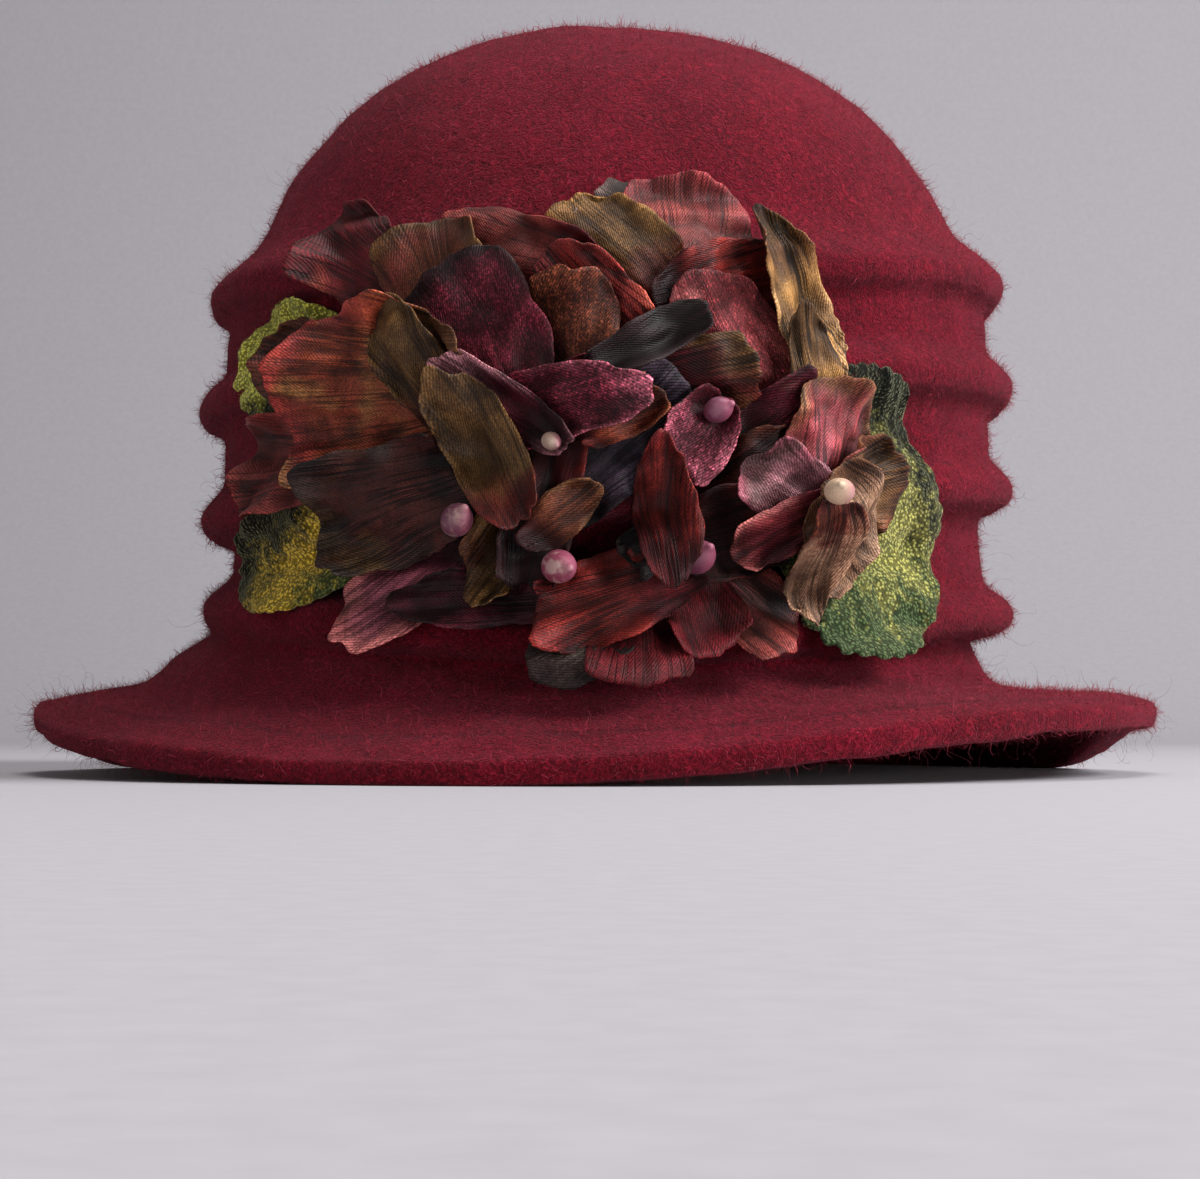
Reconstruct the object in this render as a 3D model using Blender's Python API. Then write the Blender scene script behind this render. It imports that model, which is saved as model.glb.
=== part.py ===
"""Cloche hat in boiled wool felt with a corsage of cloth petals, velvet leaves and berries.

Metres, +Z up. The front of the hat faces -Y and the hat rests on z = 0.
"""

import math

import bpy
import numpy as np

# Felt body, driving sizes
CROWN_HALF_WIDTH = 0.086
CROWN_HALF_DEPTH = 0.102
CROWN_HEIGHT = 0.1685
DOME_BASE = 0.100
DOME_SPREAD = 0.962
FELT_WALL = 0.003
TUCK_THICKNESS = 0.0098
BRIM_HALF_WIDTH = 0.1256
BRIM_HALF_DEPTH = 0.132
BRIM_SHIFT_X = -0.0029
BRIM_SHIFT_Y = -0.002
BRIM_WALL = 0.0032
BRIM_LIFT = 0.013
HEM_THICKNESS = 0.0056
HEM_WIDTH = 0.009
REST_FLATTENING = 0.001
SEGMENTS = 48

# Corsage, driving sizes
CORSAGE_WIDTH = 0.171
CORSAGE_HEIGHT = 0.092
CORSAGE_CENTRE = 0.0668
CORSAGE_REACH = 0.012
PETAL_LENGTH = 0.045
PETAL_WIDTH = 0.035
CLOTH_THICKNESS = 0.0010
LEAF_THICKNESS = 0.0012
BERRY_RADIUS = 0.0035
CLEARANCE = 0.00045
CELL = 0.0005
SOFTNESS = 0.0045
SETTLING_DEPTH = 0.0015
SETTLING_REACH = 0.75
SETTLING_STEPS = 5
STEEPEST = 2.5

# The four tucks from the top down. The ridge heights at the front, right, back and left are
# shares of the crown height. The surface above the tuck, its nose and the surface below it
# are offsets from the crown oval, as shares of the crown's half width.
TUCK_COLUMNS = ("front", "right", "back", "left", "above", "nose", "below")
TUCKS = (
    (0.593, 0.650, 0.650, 0.633, -0.040, 0.045, -0.006),
    (0.475, 0.512, 0.517, 0.484, 0.003, 0.074, 0.012),
    (0.327, 0.376, 0.380, 0.334, 0.014, 0.072, -0.014),
    (0.169, 0.212, 0.232, 0.222, -0.009, 0.067, -0.020),
)

# One tuck in section, from its top side over the nose to the undercut below. The side tells
# which neighbouring surface the row starts from; out is the share of the way to the nose and
# up is a share of the tuck thickness.
TUCK_SECTION = (
    ("above", 0.04, 0.72),
    ("above", 0.50, 0.44),
    ("above", 0.92, 0.15),
    ("above", 1.00, -0.10),
    ("below", 0.76, -0.40),
    ("below", 0.05, -0.58),
)

# Elevation of the rings of the dome, in degrees above its base.
DOME_RINGS = (17, 27, 38, 49, 60, 71, 81)

# The brim from crown to hem: out is a share of the brim's width, and the drops at the left,
# the right and the two ends are shares of its fall.
BRIM_COLUMNS = ("out", "left", "right", "ends")
BRIM_ROWS = (
    (0.00, 0.00, 0.00, 0.00),
    (0.07, 0.14, 0.52, 0.12),
    (0.17, 0.34, 0.76, 0.27),
    (0.32, 0.67, 0.83, 0.45),
    (0.54, 0.80, 0.86, 0.67),
    (0.78, 0.89, 0.89, 0.86),
)

# How far the foot of the crown stands out from the crown oval at the front, right, back and
# left, as shares of the crown's half width.
CROWN_FOOT = (0.0, -0.040, 0.0, 0.075)

# Height of the rim's underside against the angle from the front (left is negative), as
# shares of the brim lift.
RIM = (
    (-180, 0.00), (-116, 0.00), (-106, 0.15), (-98, 0.50), (-90, 1.00), (-75, 0.81),
    (-57, 0.46), (-46, 0.31), (-31, 0.12), (-18, 0.03), (0, 0.12), (13, 0.27), (25, 0.52),
    (39, 0.75), (51, 0.84), (75, 0.85), (90, 1.00), (98, 0.50), (106, 0.15), (116, 0.00),
    (180, 0.00),
)

# Cloth colours of the corsage (linear red, green, blue).
COLOURS = {
    "wine": (0.150, 0.012, 0.022),
    "coral": (0.330, 0.040, 0.035),
    "rose": (0.290, 0.055, 0.085),
    "dusty": (0.200, 0.045, 0.045),
    "rust": (0.230, 0.040, 0.022),
    "brown": (0.095, 0.028, 0.016),
    "umber": (0.050, 0.012, 0.014),
    "plum": (0.080, 0.010, 0.030),
    "mauve": (0.240, 0.070, 0.120),
    "olive": (0.120, 0.070, 0.018),
    "khaki": (0.330, 0.215, 0.110),
    "gold": (0.240, 0.150, 0.040),
    "charcoal": (0.022, 0.012, 0.018),
    "navy": (0.018, 0.010, 0.026),
    "velvet": (0.180, 0.210, 0.025),
    "berry": (0.390, 0.110, 0.200),
    "cream": (0.690, 0.470, 0.360),
}

# Outlines of the cloth pieces: square fills out the corners (0 is an oval), point narrows the
# tip, both as shares.
FORMS = {
    "round": (0.10, 0.00),
    "broad": (0.28, 0.00),
    "pointed": (0.05, 0.38),
    "leaf": (0.25, 0.20),
}

# The corsage in the order it is laid on the felt. across and up place the middle of a piece
# as shares of the corsage's width and height, turn is the direction of its tip in degrees
# from the right, long and wide are shares of the petal length and width. rise lifts the
# tip and cup the side edges, as shares of the length and the width.
CORSAGE_COLUMNS = ("name", "colour", "form", "across", "up", "turn", "long", "wide", "rise", "cup")
CORSAGE = (
    ("leaf_upper_left", "velvet", "leaf", -0.455, 0.180, 165, 0.92, 0.80, 0.00, 0.05),
    ("leaf_lower_left", "velvet", "leaf", -0.445, -0.235, -172, 1.02, 0.66, 0.00, 0.06),
    ("leaf_right", "velvet", "leaf", 0.340, -0.150, -78, 1.10, 1.36, 0.00, 0.04),
    ("petal_charcoal_top", "charcoal", "round", 0.042, 0.422, 150, 0.56, 0.50, 0.05, 0.02),
    ("petal_rose_top", "rose", "broad", 0.100, 0.375, 85, 0.62, 0.76, 0.08, 0.04),
    ("petal_khaki_top", "olive", "round", 0.010, 0.345, 140, 0.72, 0.64, 0.06, 0.03),
    ("petal_dusty_top", "dusty", "broad", -0.115, 0.365, 165, 0.72, 0.48, 0.04, 0.04),
    ("petal_wine_top_left", "wine", "broad", -0.310, 0.370, 150, 0.66, 0.56, 0.06, 0.05),
    ("petal_taupe_top", "olive", "broad", -0.205, 0.305, 110, 0.56, 0.68, 0.06, 0.04),
    ("petal_dusty_left", "dusty", "broad", -0.430, -0.045, 180, 0.70, 0.56, 0.04, 0.05),
    ("petal_brown_left", "brown", "round", -0.388, 0.160, 170, 0.66, 0.50, 0.05, 0.03),
    ("petal_rust_right", "rust", "broad", 0.135, 0.295, 15, 0.60, 0.50, 0.05, 0.04),
    ("petal_rosy_right", "rose", "round", 0.165, 0.108, -58, 0.86, 0.76, 0.05, 0.04),
    ("petal_gold_right_upper", "gold", "round", 0.228, 0.290, -65, 0.74, 0.42, 0.03, 0.05),
    ("petal_gold_right_lower", "gold", "pointed", 0.240, 0.090, -78, 0.66, 0.38, 0.03, 0.05),
    ("petal_violet_lower_left", "mauve", "broad", -0.245, -0.290, -145, 0.74, 0.50, 0.03, 0.04),
    ("petal_silver_bottom", "charcoal", "round", -0.018, -0.425, -150, 0.50, 0.42, 0.03, 0.03),
    ("petal_wine_bottom", "wine", "broad", 0.038, -0.395, -95, 0.44, 0.50, 0.04, 0.04),
    ("petal_brown_lower_right", "umber", "broad", 0.135, -0.315, -40, 0.66, 0.44, 0.03, 0.04),
    ("petal_wine_lower_right", "wine", "broad", 0.100, -0.315, -70, 0.50, 0.40, 0.04, 0.04),
    ("petal_plum_bottom", "umber", "pointed", -0.125, -0.340, -178, 0.94, 0.38, 0.02, 0.08),
    ("petal_coral_centre", "coral", "broad", -0.008, 0.235, -50, 0.58, 0.46, 0.04, 0.04),
    ("petal_brown_glitter", "brown", "round", -0.050, 0.160, 90, 0.60, 0.60, 0.06, 0.03),
    ("petal_plum_velvet", "plum", "broad", -0.150, 0.190, 120, 0.70, 0.74, 0.05, 0.03),
    ("petal_main_left", "brown", "round", -0.280, 0.080, 180, 0.90, 1.02, 0.04, 0.04),
    ("petal_olive_left_overlap", "olive", "round", -0.220, 0.135, 120, 0.56, 0.40, 0.06, 0.04),
    ("petal_charcoal_left", "umber", "broad", -0.245, -0.145, -165, 0.82, 0.64, 0.06, 0.06),
    ("petal_coral_lower", "rust", "broad", 0.010, -0.345, -160, 0.60, 0.42, 0.04, 0.05),
    ("petal_olive_lower", "olive", "pointed", -0.120, -0.240, -120, 0.54, 0.46, 0.05, 0.06),
    ("petal_wine_olive_edge", "wine", "broad", 0.040, 0.080, 8, 0.78, 0.42, 0.05, 0.05),
    ("petal_black_fold", "charcoal", "round", 0.040, 0.165, 30, 0.56, 0.24, 0.10, 0.15),
    ("petal_navy", "navy", "broad", 0.020, -0.025, 40, 0.52, 0.40, 0.04, 0.08),
    ("petal_plum_right_centre", "plum", "broad", 0.180, -0.030, 35, 0.56, 0.42, 0.05, 0.06),
    ("petal_brown_fold_right", "umber", "broad", 0.136, -0.125, 30, 0.54, 0.40, 0.03, 0.05),
    ("petal_umber_right", "umber", "broad", 0.140, -0.215, 15, 0.46, 0.38, 0.03, 0.04),
    ("petal_maroon_inner", "wine", "broad", -0.070, -0.110, 80, 0.54, 0.28, 0.06, 0.12),
    ("petal_tan_inner", "brown", "pointed", -0.050, -0.180, 38, 0.36, 0.28, 0.08, 0.10),
    ("petal_brown_curl", "rust", "round", 0.012, 0.020, 30, 0.38, 0.26, 0.10, 0.12),
    ("petal_mauve_glitter", "mauve", "round", 0.100, -0.015, -120, 0.40, 0.36, 0.10, 0.05),
    ("petal_plum_triangle", "plum", "pointed", -0.064, 0.040, 8, 0.72, 0.48, 0.04, 0.04),
    ("petal_plum_strip", "plum", "round", -0.112, 0.045, 145, 0.60, 0.26, 0.06, 0.10),
    ("petal_olive_long", "olive", "round", -0.131, -0.055, 118, 0.65, 0.40, 0.06, 0.08),
    ("petal_upright_rust", "rust", "pointed", 0.060, -0.172, 92, 0.58, 0.34, 0.12, 0.16),
    ("petal_rose_right", "rose", "broad", 0.252, -0.025, 75, 0.52, 0.54, 0.03, 0.02),
    ("petal_mauve_right", "mauve", "broad", 0.190, -0.135, 150, 0.38, 0.38, 0.03, 0.03),
    ("petal_rose_small_right", "rose", "broad", 0.186, -0.212, -150, 0.40, 0.28, 0.03, 0.03),
    ("petal_khaki_right_upper", "khaki", "broad", 0.288, -0.118, 15, 0.56, 0.50, 0.03, 0.02),
    ("petal_beige_right", "khaki", "broad", 0.258, -0.205, -35, 0.52, 0.52, 0.03, 0.02),
    ("petal_beige_point", "khaki", "pointed", 0.222, -0.285, -70, 0.48, 0.36, 0.03, 0.03),
)

# Berries: place as above, size as a share of the berry radius, and the lean of the stalk axis
# to the right and upwards in degrees.
BERRY_COLUMNS = ("name", "colour", "across", "up", "size", "lean_right", "lean_up")
BERRIES = (
    ("berry_lower_left", "berry", -0.166, -0.190, 1.00, 35, 35),
    ("berry_lower_middle", "berry", -0.053, -0.286, 1.05, 30, -8),
    ("berry_lower_right", "berry", 0.094, -0.270, 1.00, 20, 25),
    ("berry_centre_right", "berry", 0.120, 0.034, 0.80, 35, 20),
    ("berry_centre", "cream", -0.058, -0.036, 0.55, 30, -30),
    ("berry_right", "cream", 0.200, -0.150, 0.95, -15, 15),
)

# A berry in section from the tip of the nib to the stalk: radius and height along the axis as
# shares of the berry's radius.
BERRY_SECTION = (
    (0.20, 1.42), (0.30, 1.16), (0.62, 0.92), (0.96, 0.30), (0.92, -0.35), (0.55, -0.88),
)
BERRY_SIDES = 10

# Cells along and across a sheet's grid.
SMALL_PETAL_GRID = (4, 3)
LARGE_PETAL_GRID = (5, 4)
LEAF_GRID = (7, 6)
SMALL_PETAL = 0.60


def named(columns, row):
    """One table row as a dictionary keyed by its column names."""
    return dict(zip(columns, row))


def four_ways(front, right, back, left, angle):
    """Blend four values, given at the front, right, back and left, round the crown."""
    side = np.where(np.cos(angle) > 0, right, left)
    end = np.where(np.sin(angle) > 0, back, front)
    return side * np.cos(angle) ** 2 + end * np.sin(angle) ** 2


def ridge_height(tuck, angle):
    """Height of a tuck's ridge at an angle (0 is the right, -90 degrees the front)."""
    quarters = [tuck[key] for key in ("front", "right", "back", "left")]
    return CROWN_HEIGHT * four_ways(*quarters, angle)


def rim_height(angle):
    """Height of the underside of the rim, level where the hat rests."""
    from_front = np.degrees(angle) + 90
    from_front = (from_front + 180) % 360 - 180
    total = 0
    for shift in (-6, -3, 0, 3, 6):
        turned = (from_front + shift + 180) % 360 - 180
        total = total + np.interp(turned, [row[0] for row in RIM], [row[1] for row in RIM])
    return np.maximum(BRIM_LIFT * total / 5 - REST_FLATTENING, 0)


def crown_rows(angle):
    """The outer face from under the dome to the foot of the lowest tuck, as (out, up) rows."""
    rows = []
    tucks = [named(TUCK_COLUMNS, row) for row in TUCKS]
    for index, tuck in enumerate(tucks):
        ridge = ridge_height(tuck, angle)
        nose = tuck["nose"] * CROWN_HALF_WIDTH
        for side, out, up in TUCK_SECTION:
            start = tuck[side] * CROWN_HALF_WIDTH
            if side == "below" and index + 1 == len(tucks):
                start = CROWN_HALF_WIDTH * np.minimum(four_ways(*CROWN_FOOT, angle), 0.7 * tuck["nose"])
            rows.append((start + (nose - start) * out + 0 * angle, ridge + up * TUCK_THICKNESS))
        if index + 1 < len(tucks):
            below = tucks[index + 1]
            out = (tuck["below"] + below["above"]) / 2 * CROWN_HALF_WIDTH
            foot = ridge + TUCK_SECTION[-1][2] * TUCK_THICKNESS
            head = ridge_height(below, angle) + TUCK_SECTION[0][2] * TUCK_THICKNESS
            rows.append((out + 0 * angle, (foot + head) / 2))
    return rows


def dome_share(elevation):
    """Share of the crown oval and height of a dome ring."""
    rise = math.radians(elevation)
    return DOME_SPREAD * math.cos(rise), DOME_BASE + (CROWN_HEIGHT - DOME_BASE) * math.sin(rise)


def dome_ring(angle, elevation, inset):
    """One ring of the dome; the lowest rings follow the top tuck as it dips to the front."""
    share, height = dome_share(elevation)
    top_tuck = named(TUCK_COLUMNS, TUCKS[0])
    dip = ridge_height(top_tuck, angle) - CROWN_HEIGHT * top_tuck["right"]
    fade = max(0.0, 1 - elevation / 60) ** 2
    x = (CROWN_HALF_WIDTH * share - inset * math.cos(math.radians(elevation))) * np.cos(angle)
    y = (CROWN_HALF_DEPTH * share - inset * math.cos(math.radians(elevation))) * np.sin(angle)
    z = height + dip * fade - inset * math.sin(math.radians(elevation)) + 0 * angle
    return np.stack([x, y, z], axis=1)


def oval_ring(angle, out, up):
    """A ring at an offset outside the crown oval."""
    x = (CROWN_HALF_WIDTH + out) * np.cos(angle)
    y = (CROWN_HALF_DEPTH + out) * np.sin(angle)
    return np.stack([x, y, up + 0 * angle], axis=1)


def brim_ring(angle, share, up, start_out):
    """A ring a share of the way from the foot of the crown to the rim."""
    inner = oval_ring(angle, start_out, up)
    x = BRIM_HALF_WIDTH * np.cos(angle) + BRIM_SHIFT_X
    y = BRIM_HALF_DEPTH * np.sin(angle) + BRIM_SHIFT_Y
    outer = np.stack([x, y, inner[:, 2]], axis=1)
    return inner + (outer - inner) * share


def brim_top(angle):
    """Rings of the brim's upper face, from the foot of the crown to the edge of the hem."""
    last = named(TUCK_COLUMNS, TUCKS[-1])
    foot_out = CROWN_HALF_WIDTH * four_ways(*CROWN_FOOT, angle)
    foot_up = ridge_height(last, angle) - 0.75 * TUCK_THICKNESS
    hem_top = rim_height(angle) + HEM_THICKNESS
    rings = []
    for row in BRIM_ROWS:
        brim = named(BRIM_COLUMNS, row)
        drop = four_ways(brim["ends"], brim["right"], brim["ends"], brim["left"], angle)
        rings.append(brim_ring(angle, brim["out"], foot_up + (hem_top - foot_up) * drop, foot_out))
    return rings, foot_out, foot_up


def hem_rings(angle, foot_out):
    """The turned hem: upper edge, rounded outside and the level underside it rests on."""
    low = rim_height(angle)
    width = BRIM_HALF_DEPTH - CROWN_HALF_DEPTH
    rows = ((0.30, 1.00), (0.04, 0.86), (0.00, 0.50), (0.06, 0.10), (0.14, 0.00), (0.62, 0.00))
    rings = []
    for inside, up in rows:
        share = 1 - inside * HEM_WIDTH / width
        rings.append(brim_ring(angle, share, low + up * HEM_THICKNESS, foot_out))
    return rings


def lowered(rings, wall):
    """The rings of a face moved through the wall, square to the face, to its underside."""
    stack = np.array(rings)
    slope = np.gradient(stack, axis=0)
    run = np.hypot(slope[..., 0], slope[..., 1])
    length = np.hypot(run, slope[..., 2])
    radial = slope[..., :2] / np.maximum(run, 1e-9)[..., None]
    moved = stack.copy()
    moved[..., :2] += radial * (slope[..., 2] / length)[..., None] * wall
    moved[..., 2] -= run / length * wall
    return list(moved)


def felt_rings():
    """All rings of the felt body from the top of the dome, round the rim, to the lining side."""
    angle = np.linspace(0, 2 * math.pi, SEGMENTS, endpoint=False)
    outer = [dome_ring(angle, elevation, 0.0) for elevation in reversed(DOME_RINGS)]
    outer += [oval_ring(angle, out, up) for out, up in crown_rows(angle)]
    upper, foot_out, foot_up = brim_top(angle)
    outer += upper
    outer += hem_rings(angle, foot_out)
    inner = list(reversed(lowered(upper, BRIM_WALL)[1:]))
    inner.append(oval_ring(angle, -FELT_WALL, foot_up + 0.6 * TUCK_THICKNESS))
    inner.append(oval_ring(angle, -FELT_WALL, 0.55 * DOME_BASE))
    inner += [dome_ring(angle, elevation, FELT_WALL) for elevation in (4,) + DOME_RINGS]
    return outer + inner


def new_object(name, points, faces, colour, roughness):
    """Put a closed mesh in the scene with a material of its own."""
    mesh = bpy.data.meshes.new(name)
    mesh.from_pydata([tuple(point) for point in points], [], faces)
    mesh.update()
    thing = bpy.data.objects.new(name, mesh)
    bpy.context.scene.collection.objects.link(thing)
    material = bpy.data.materials.new(name + "_material")
    material.use_nodes = True
    shader = material.node_tree.nodes["Principled BSDF"]
    shader.inputs["Base Color"].default_value = (*colour, 1.0)
    shader.inputs["Roughness"].default_value = roughness
    shader.inputs["Metallic"].default_value = 0.0
    mesh.materials.append(material)
    for polygon in mesh.polygons:
        polygon.use_smooth = True
    return thing


def ring_faces(rings, sides, first, last):
    """Faces between successive rings of points, closed by fans at the first and last point."""
    faces = []
    for ring in range(rings - 1):
        for side in range(sides):
            after = (side + 1) % sides
            a = ring * sides + side
            b = ring * sides + after
            faces.append((a, a + sides, b + sides))
            faces.append((a, b + sides, b))
    for side in range(sides):
        after = (side + 1) % sides
        faces.append((first, side, after))
        base = (rings - 1) * sides
        faces.append((last, base + after, base + side))
    return faces


def build_felt():
    """The hat itself: dome, tucks, brim and hem are one piece of felt."""
    rings = felt_rings()
    points = np.concatenate(rings + [np.array([[0, 0, CROWN_HEIGHT], [0, 0, CROWN_HEIGHT - FELT_WALL]])])
    count = len(rings) * SEGMENTS
    faces = ring_faces(len(rings), SEGMENTS, count, count + 1)
    return new_object("felt_hat", points, faces, (0.150, 0.008, 0.024), 0.95)


def arc_table():
    """Angles round the front of the crown and the way along it from the front centre."""
    angle = np.linspace(-math.pi, 0, 1441)
    x = (CROWN_HALF_WIDTH + CORSAGE_REACH) * np.cos(angle)
    y = (CROWN_HALF_DEPTH + CORSAGE_REACH) * np.sin(angle)
    way = np.concatenate([[0], np.cumsum(np.hypot(np.diff(x), np.diff(y)))])
    return angle, way - np.interp(-math.pi / 2, angle, way)


ANGLES, WAYS = arc_table()


def on_crown(places):
    """Turn (along the crown, up, out) places into points in space."""
    angle = np.interp(places[:, 0], WAYS, ANGLES)
    x = (CROWN_HALF_WIDTH + places[:, 2]) * np.cos(angle)
    y = (CROWN_HALF_DEPTH + places[:, 2]) * np.sin(angle)
    return np.stack([x, y, places[:, 1]], axis=1)


class Ground:
    """How far out the hat reaches at each place on the front of the crown."""

    def __init__(self):
        self.left = -0.72 * CORSAGE_WIDTH
        self.low = CORSAGE_CENTRE - 0.66 * CORSAGE_HEIGHT
        columns = int(1.36 * CORSAGE_WIDTH / CELL)
        levels = int(1.36 * CORSAGE_HEIGHT / CELL)
        self.along = self.left + CELL * np.arange(columns)
        self.level = self.low + CELL * np.arange(levels)
        self.out = np.stack([self.felt_out(way) for way in self.along])

    def felt_out(self, way):
        """The felt's own reach up one column of places, read from its rings."""
        angle = np.array([np.interp(way, WAYS, ANGLES)])
        rings = [dome_ring(angle, elevation, 0.0) for elevation in reversed(DOME_RINGS)]
        rings += [oval_ring(angle, out, up) for out, up in crown_rows(angle)]
        rings += brim_top(angle)[0]
        points = np.concatenate(rings)
        cosine, sine = math.cos(angle[0]), math.sin(angle[0])
        oval = CROWN_HALF_WIDTH * cosine ** 2 + CROWN_HALF_DEPTH * sine ** 2
        reach = points[:, 0] * cosine + points[:, 1] * sine - oval
        order = np.argsort(points[:, 2])
        return np.interp(self.level, points[order, 2], reach[order])

    def spread(self, radius):
        """The reach softened over a radius, the way cloth bridges small hollows."""
        steps = np.arange(-int(2 * radius / CELL), int(2 * radius / CELL) + 1)
        weight = np.exp(-0.5 * (steps * CELL / radius) ** 2)
        weight = weight / weight.sum()
        half = len(steps) // 2
        soft = np.pad(self.out, half, mode="edge")
        soft = np.apply_along_axis(np.convolve, 0, soft, weight, "valid")
        return np.apply_along_axis(np.convolve, 1, soft, weight, "valid")

    def widened(self, field, cells):
        """The largest value of a field in each place's neighbourhood."""
        wide = np.pad(field, cells, mode="edge")
        columns, levels = field.shape
        rows = np.max([wide[i:i + columns] for i in range(2 * cells + 1)], axis=0)
        return np.max([rows[:, j:j + levels] for j in range(2 * cells + 1)], axis=0)

    def sample(self, field, along, up):
        """Read a field of reaches between its cells."""
        i = np.clip((along - self.left) / CELL, 0, len(self.along) - 1.001)
        j = np.clip((up - self.low) / CELL, 0, len(self.level) - 1.001)
        a = i.astype(int)
        b = j.astype(int)
        s = i - a
        t = j - b
        lower = field[a, b] * (1 - s) + field[a + 1, b] * s
        upper = field[a, b + 1] * (1 - s) + field[a + 1, b + 1] * s
        return lower * (1 - t) + upper * t

    def cover(self, places, faces):
        """Lowest and highest reach of a closed mesh in each cell it stands over."""
        low = np.full(self.out.shape, np.inf)
        high = np.full(self.out.shape, -np.inf)
        for face in faces:
            corners = places[list(face)]
            self.cover_triangle(corners, low, high)
        return low, high

    def cover_triangle(self, corners, low, high):
        """Add one triangle's reach to the cells it stands over."""
        i = (corners[:, 0] - self.left) / CELL
        j = (corners[:, 1] - self.low) / CELL
        first_i, last_i = int(max(i.min() - 0.5, 0)), int(i.max() + 1.5)
        first_j, last_j = int(max(j.min() - 0.5, 0)), int(j.max() + 1.5)
        u, v = np.meshgrid(np.arange(first_i, last_i), np.arange(first_j, last_j), indexing="ij")
        area = (i[1] - i[0]) * (j[2] - j[0]) - (i[2] - i[0]) * (j[1] - j[0])
        if abs(area) < 1e-6:
            return
        p = ((i[1] - u) * (j[2] - v) - (i[2] - u) * (j[1] - v)) / area
        q = ((i[2] - u) * (j[0] - v) - (i[0] - u) * (j[2] - v)) / area
        r = 1 - p - q
        slack = 0.6 * np.hypot(np.ptp(i), np.ptp(j)) / abs(area)
        inside = (p > -slack) & (q > -slack) & (r > -slack)
        inside &= (u < self.out.shape[0]) & (v < self.out.shape[1])
        reach = np.clip(p, 0, 1) * corners[0, 2] + np.clip(q, 0, 1) * corners[1, 2]
        reach = reach + np.clip(r, 0, 1) * corners[2, 2]
        total = np.clip(p, 0, 1) + np.clip(q, 0, 1) + np.clip(r, 0, 1)
        reach = (reach / total)[inside]
        cells = (u[inside], v[inside])
        low[cells] = np.minimum(low[cells], reach)
        high[cells] = np.maximum(high[cells], reach)

    def too_low(self, places, faces):
        """How far a mesh still has to rise in each cell it stands over."""
        low, high = self.cover(places, faces)
        need = self.widened(self.out, 1) + CLEARANCE - low
        return np.where(np.isfinite(low), np.maximum(need, 0), 0)

    def settle(self, places, faces, margin):
        """Lift a mesh until it just clears what lies under it, then count it as ground.

        The margin is how many cells round each place count as lying under it.
        """
        low, high = self.cover(places, faces)
        stood = np.isfinite(low)
        lift = np.max(self.widened(self.out, margin)[stood] + CLEARANCE - low[stood])
        placed = places + np.array([0, 0, lift])
        self.out = np.where(stood, np.maximum(self.out, high + lift), self.out)
        return placed


def sheet_faces(cells_long, cells_wide):
    """Triangles of a closed sheet: outer grid, inner grid and the edge between them."""
    wide = cells_wide + 1
    count = (cells_long + 1) * wide
    faces = []
    for i in range(cells_long):
        for j in range(cells_wide):
            a = i * wide + j
            b = a + wide
            faces.append((a, b, b + 1))
            faces.append((a, b + 1, a + 1))
            faces.append((count + a, count + b + 1, count + b))
            faces.append((count + a, count + a + 1, count + b + 1))
    edge = [i * wide for i in range(cells_long + 1)]
    edge += [cells_long * wide + j for j in range(1, wide)]
    edge += [i * wide + cells_wide for i in range(cells_long - 1, -1, -1)]
    edge += [j for j in range(cells_wide - 1, 0, -1)]
    for index, a in enumerate(edge):
        b = edge[(index + 1) % len(edge)]
        faces.append((a, count + a, count + b))
        faces.append((a, count + b, b))
    return faces


def outline_grid(cells_long, cells_wide, form):
    """A square grid drawn towards a disc, so a sheet gets a rounded or a pointed outline."""
    square, point = FORMS[form]
    rows = np.linspace(-1, 1, cells_long + 1)
    x, y = np.meshgrid(rows, np.linspace(-1, 1, cells_wide + 1), indexing="ij")
    inward = (1 - square) / 2
    u = x * np.sqrt(1 - inward * y ** 2)
    v = y * np.sqrt(1 - inward * x ** 2)
    v = v * (1 - point * ((u + 1) / 2) ** 2)
    return u.ravel(), v.ravel()


def sheet_places(along, up, inner, cells, size, thickness):
    """Both faces of a sheet; it is as thick square to itself on its slopes as on the level."""
    grid = inner.reshape(cells[0] + 1, cells[1] + 1)
    step_long = np.gradient(grid, axis=0) / (size[0] / cells[0])
    step_wide = np.gradient(grid, axis=1) / (size[1] / cells[1])
    steep = np.sqrt(1 + step_long ** 2 + step_wide ** 2).ravel()
    outer = inner + thickness * np.minimum(steep, STEEPEST)
    return np.concatenate([np.stack([along, up, outer], axis=1), np.stack([along, up, inner], axis=1)])


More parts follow.
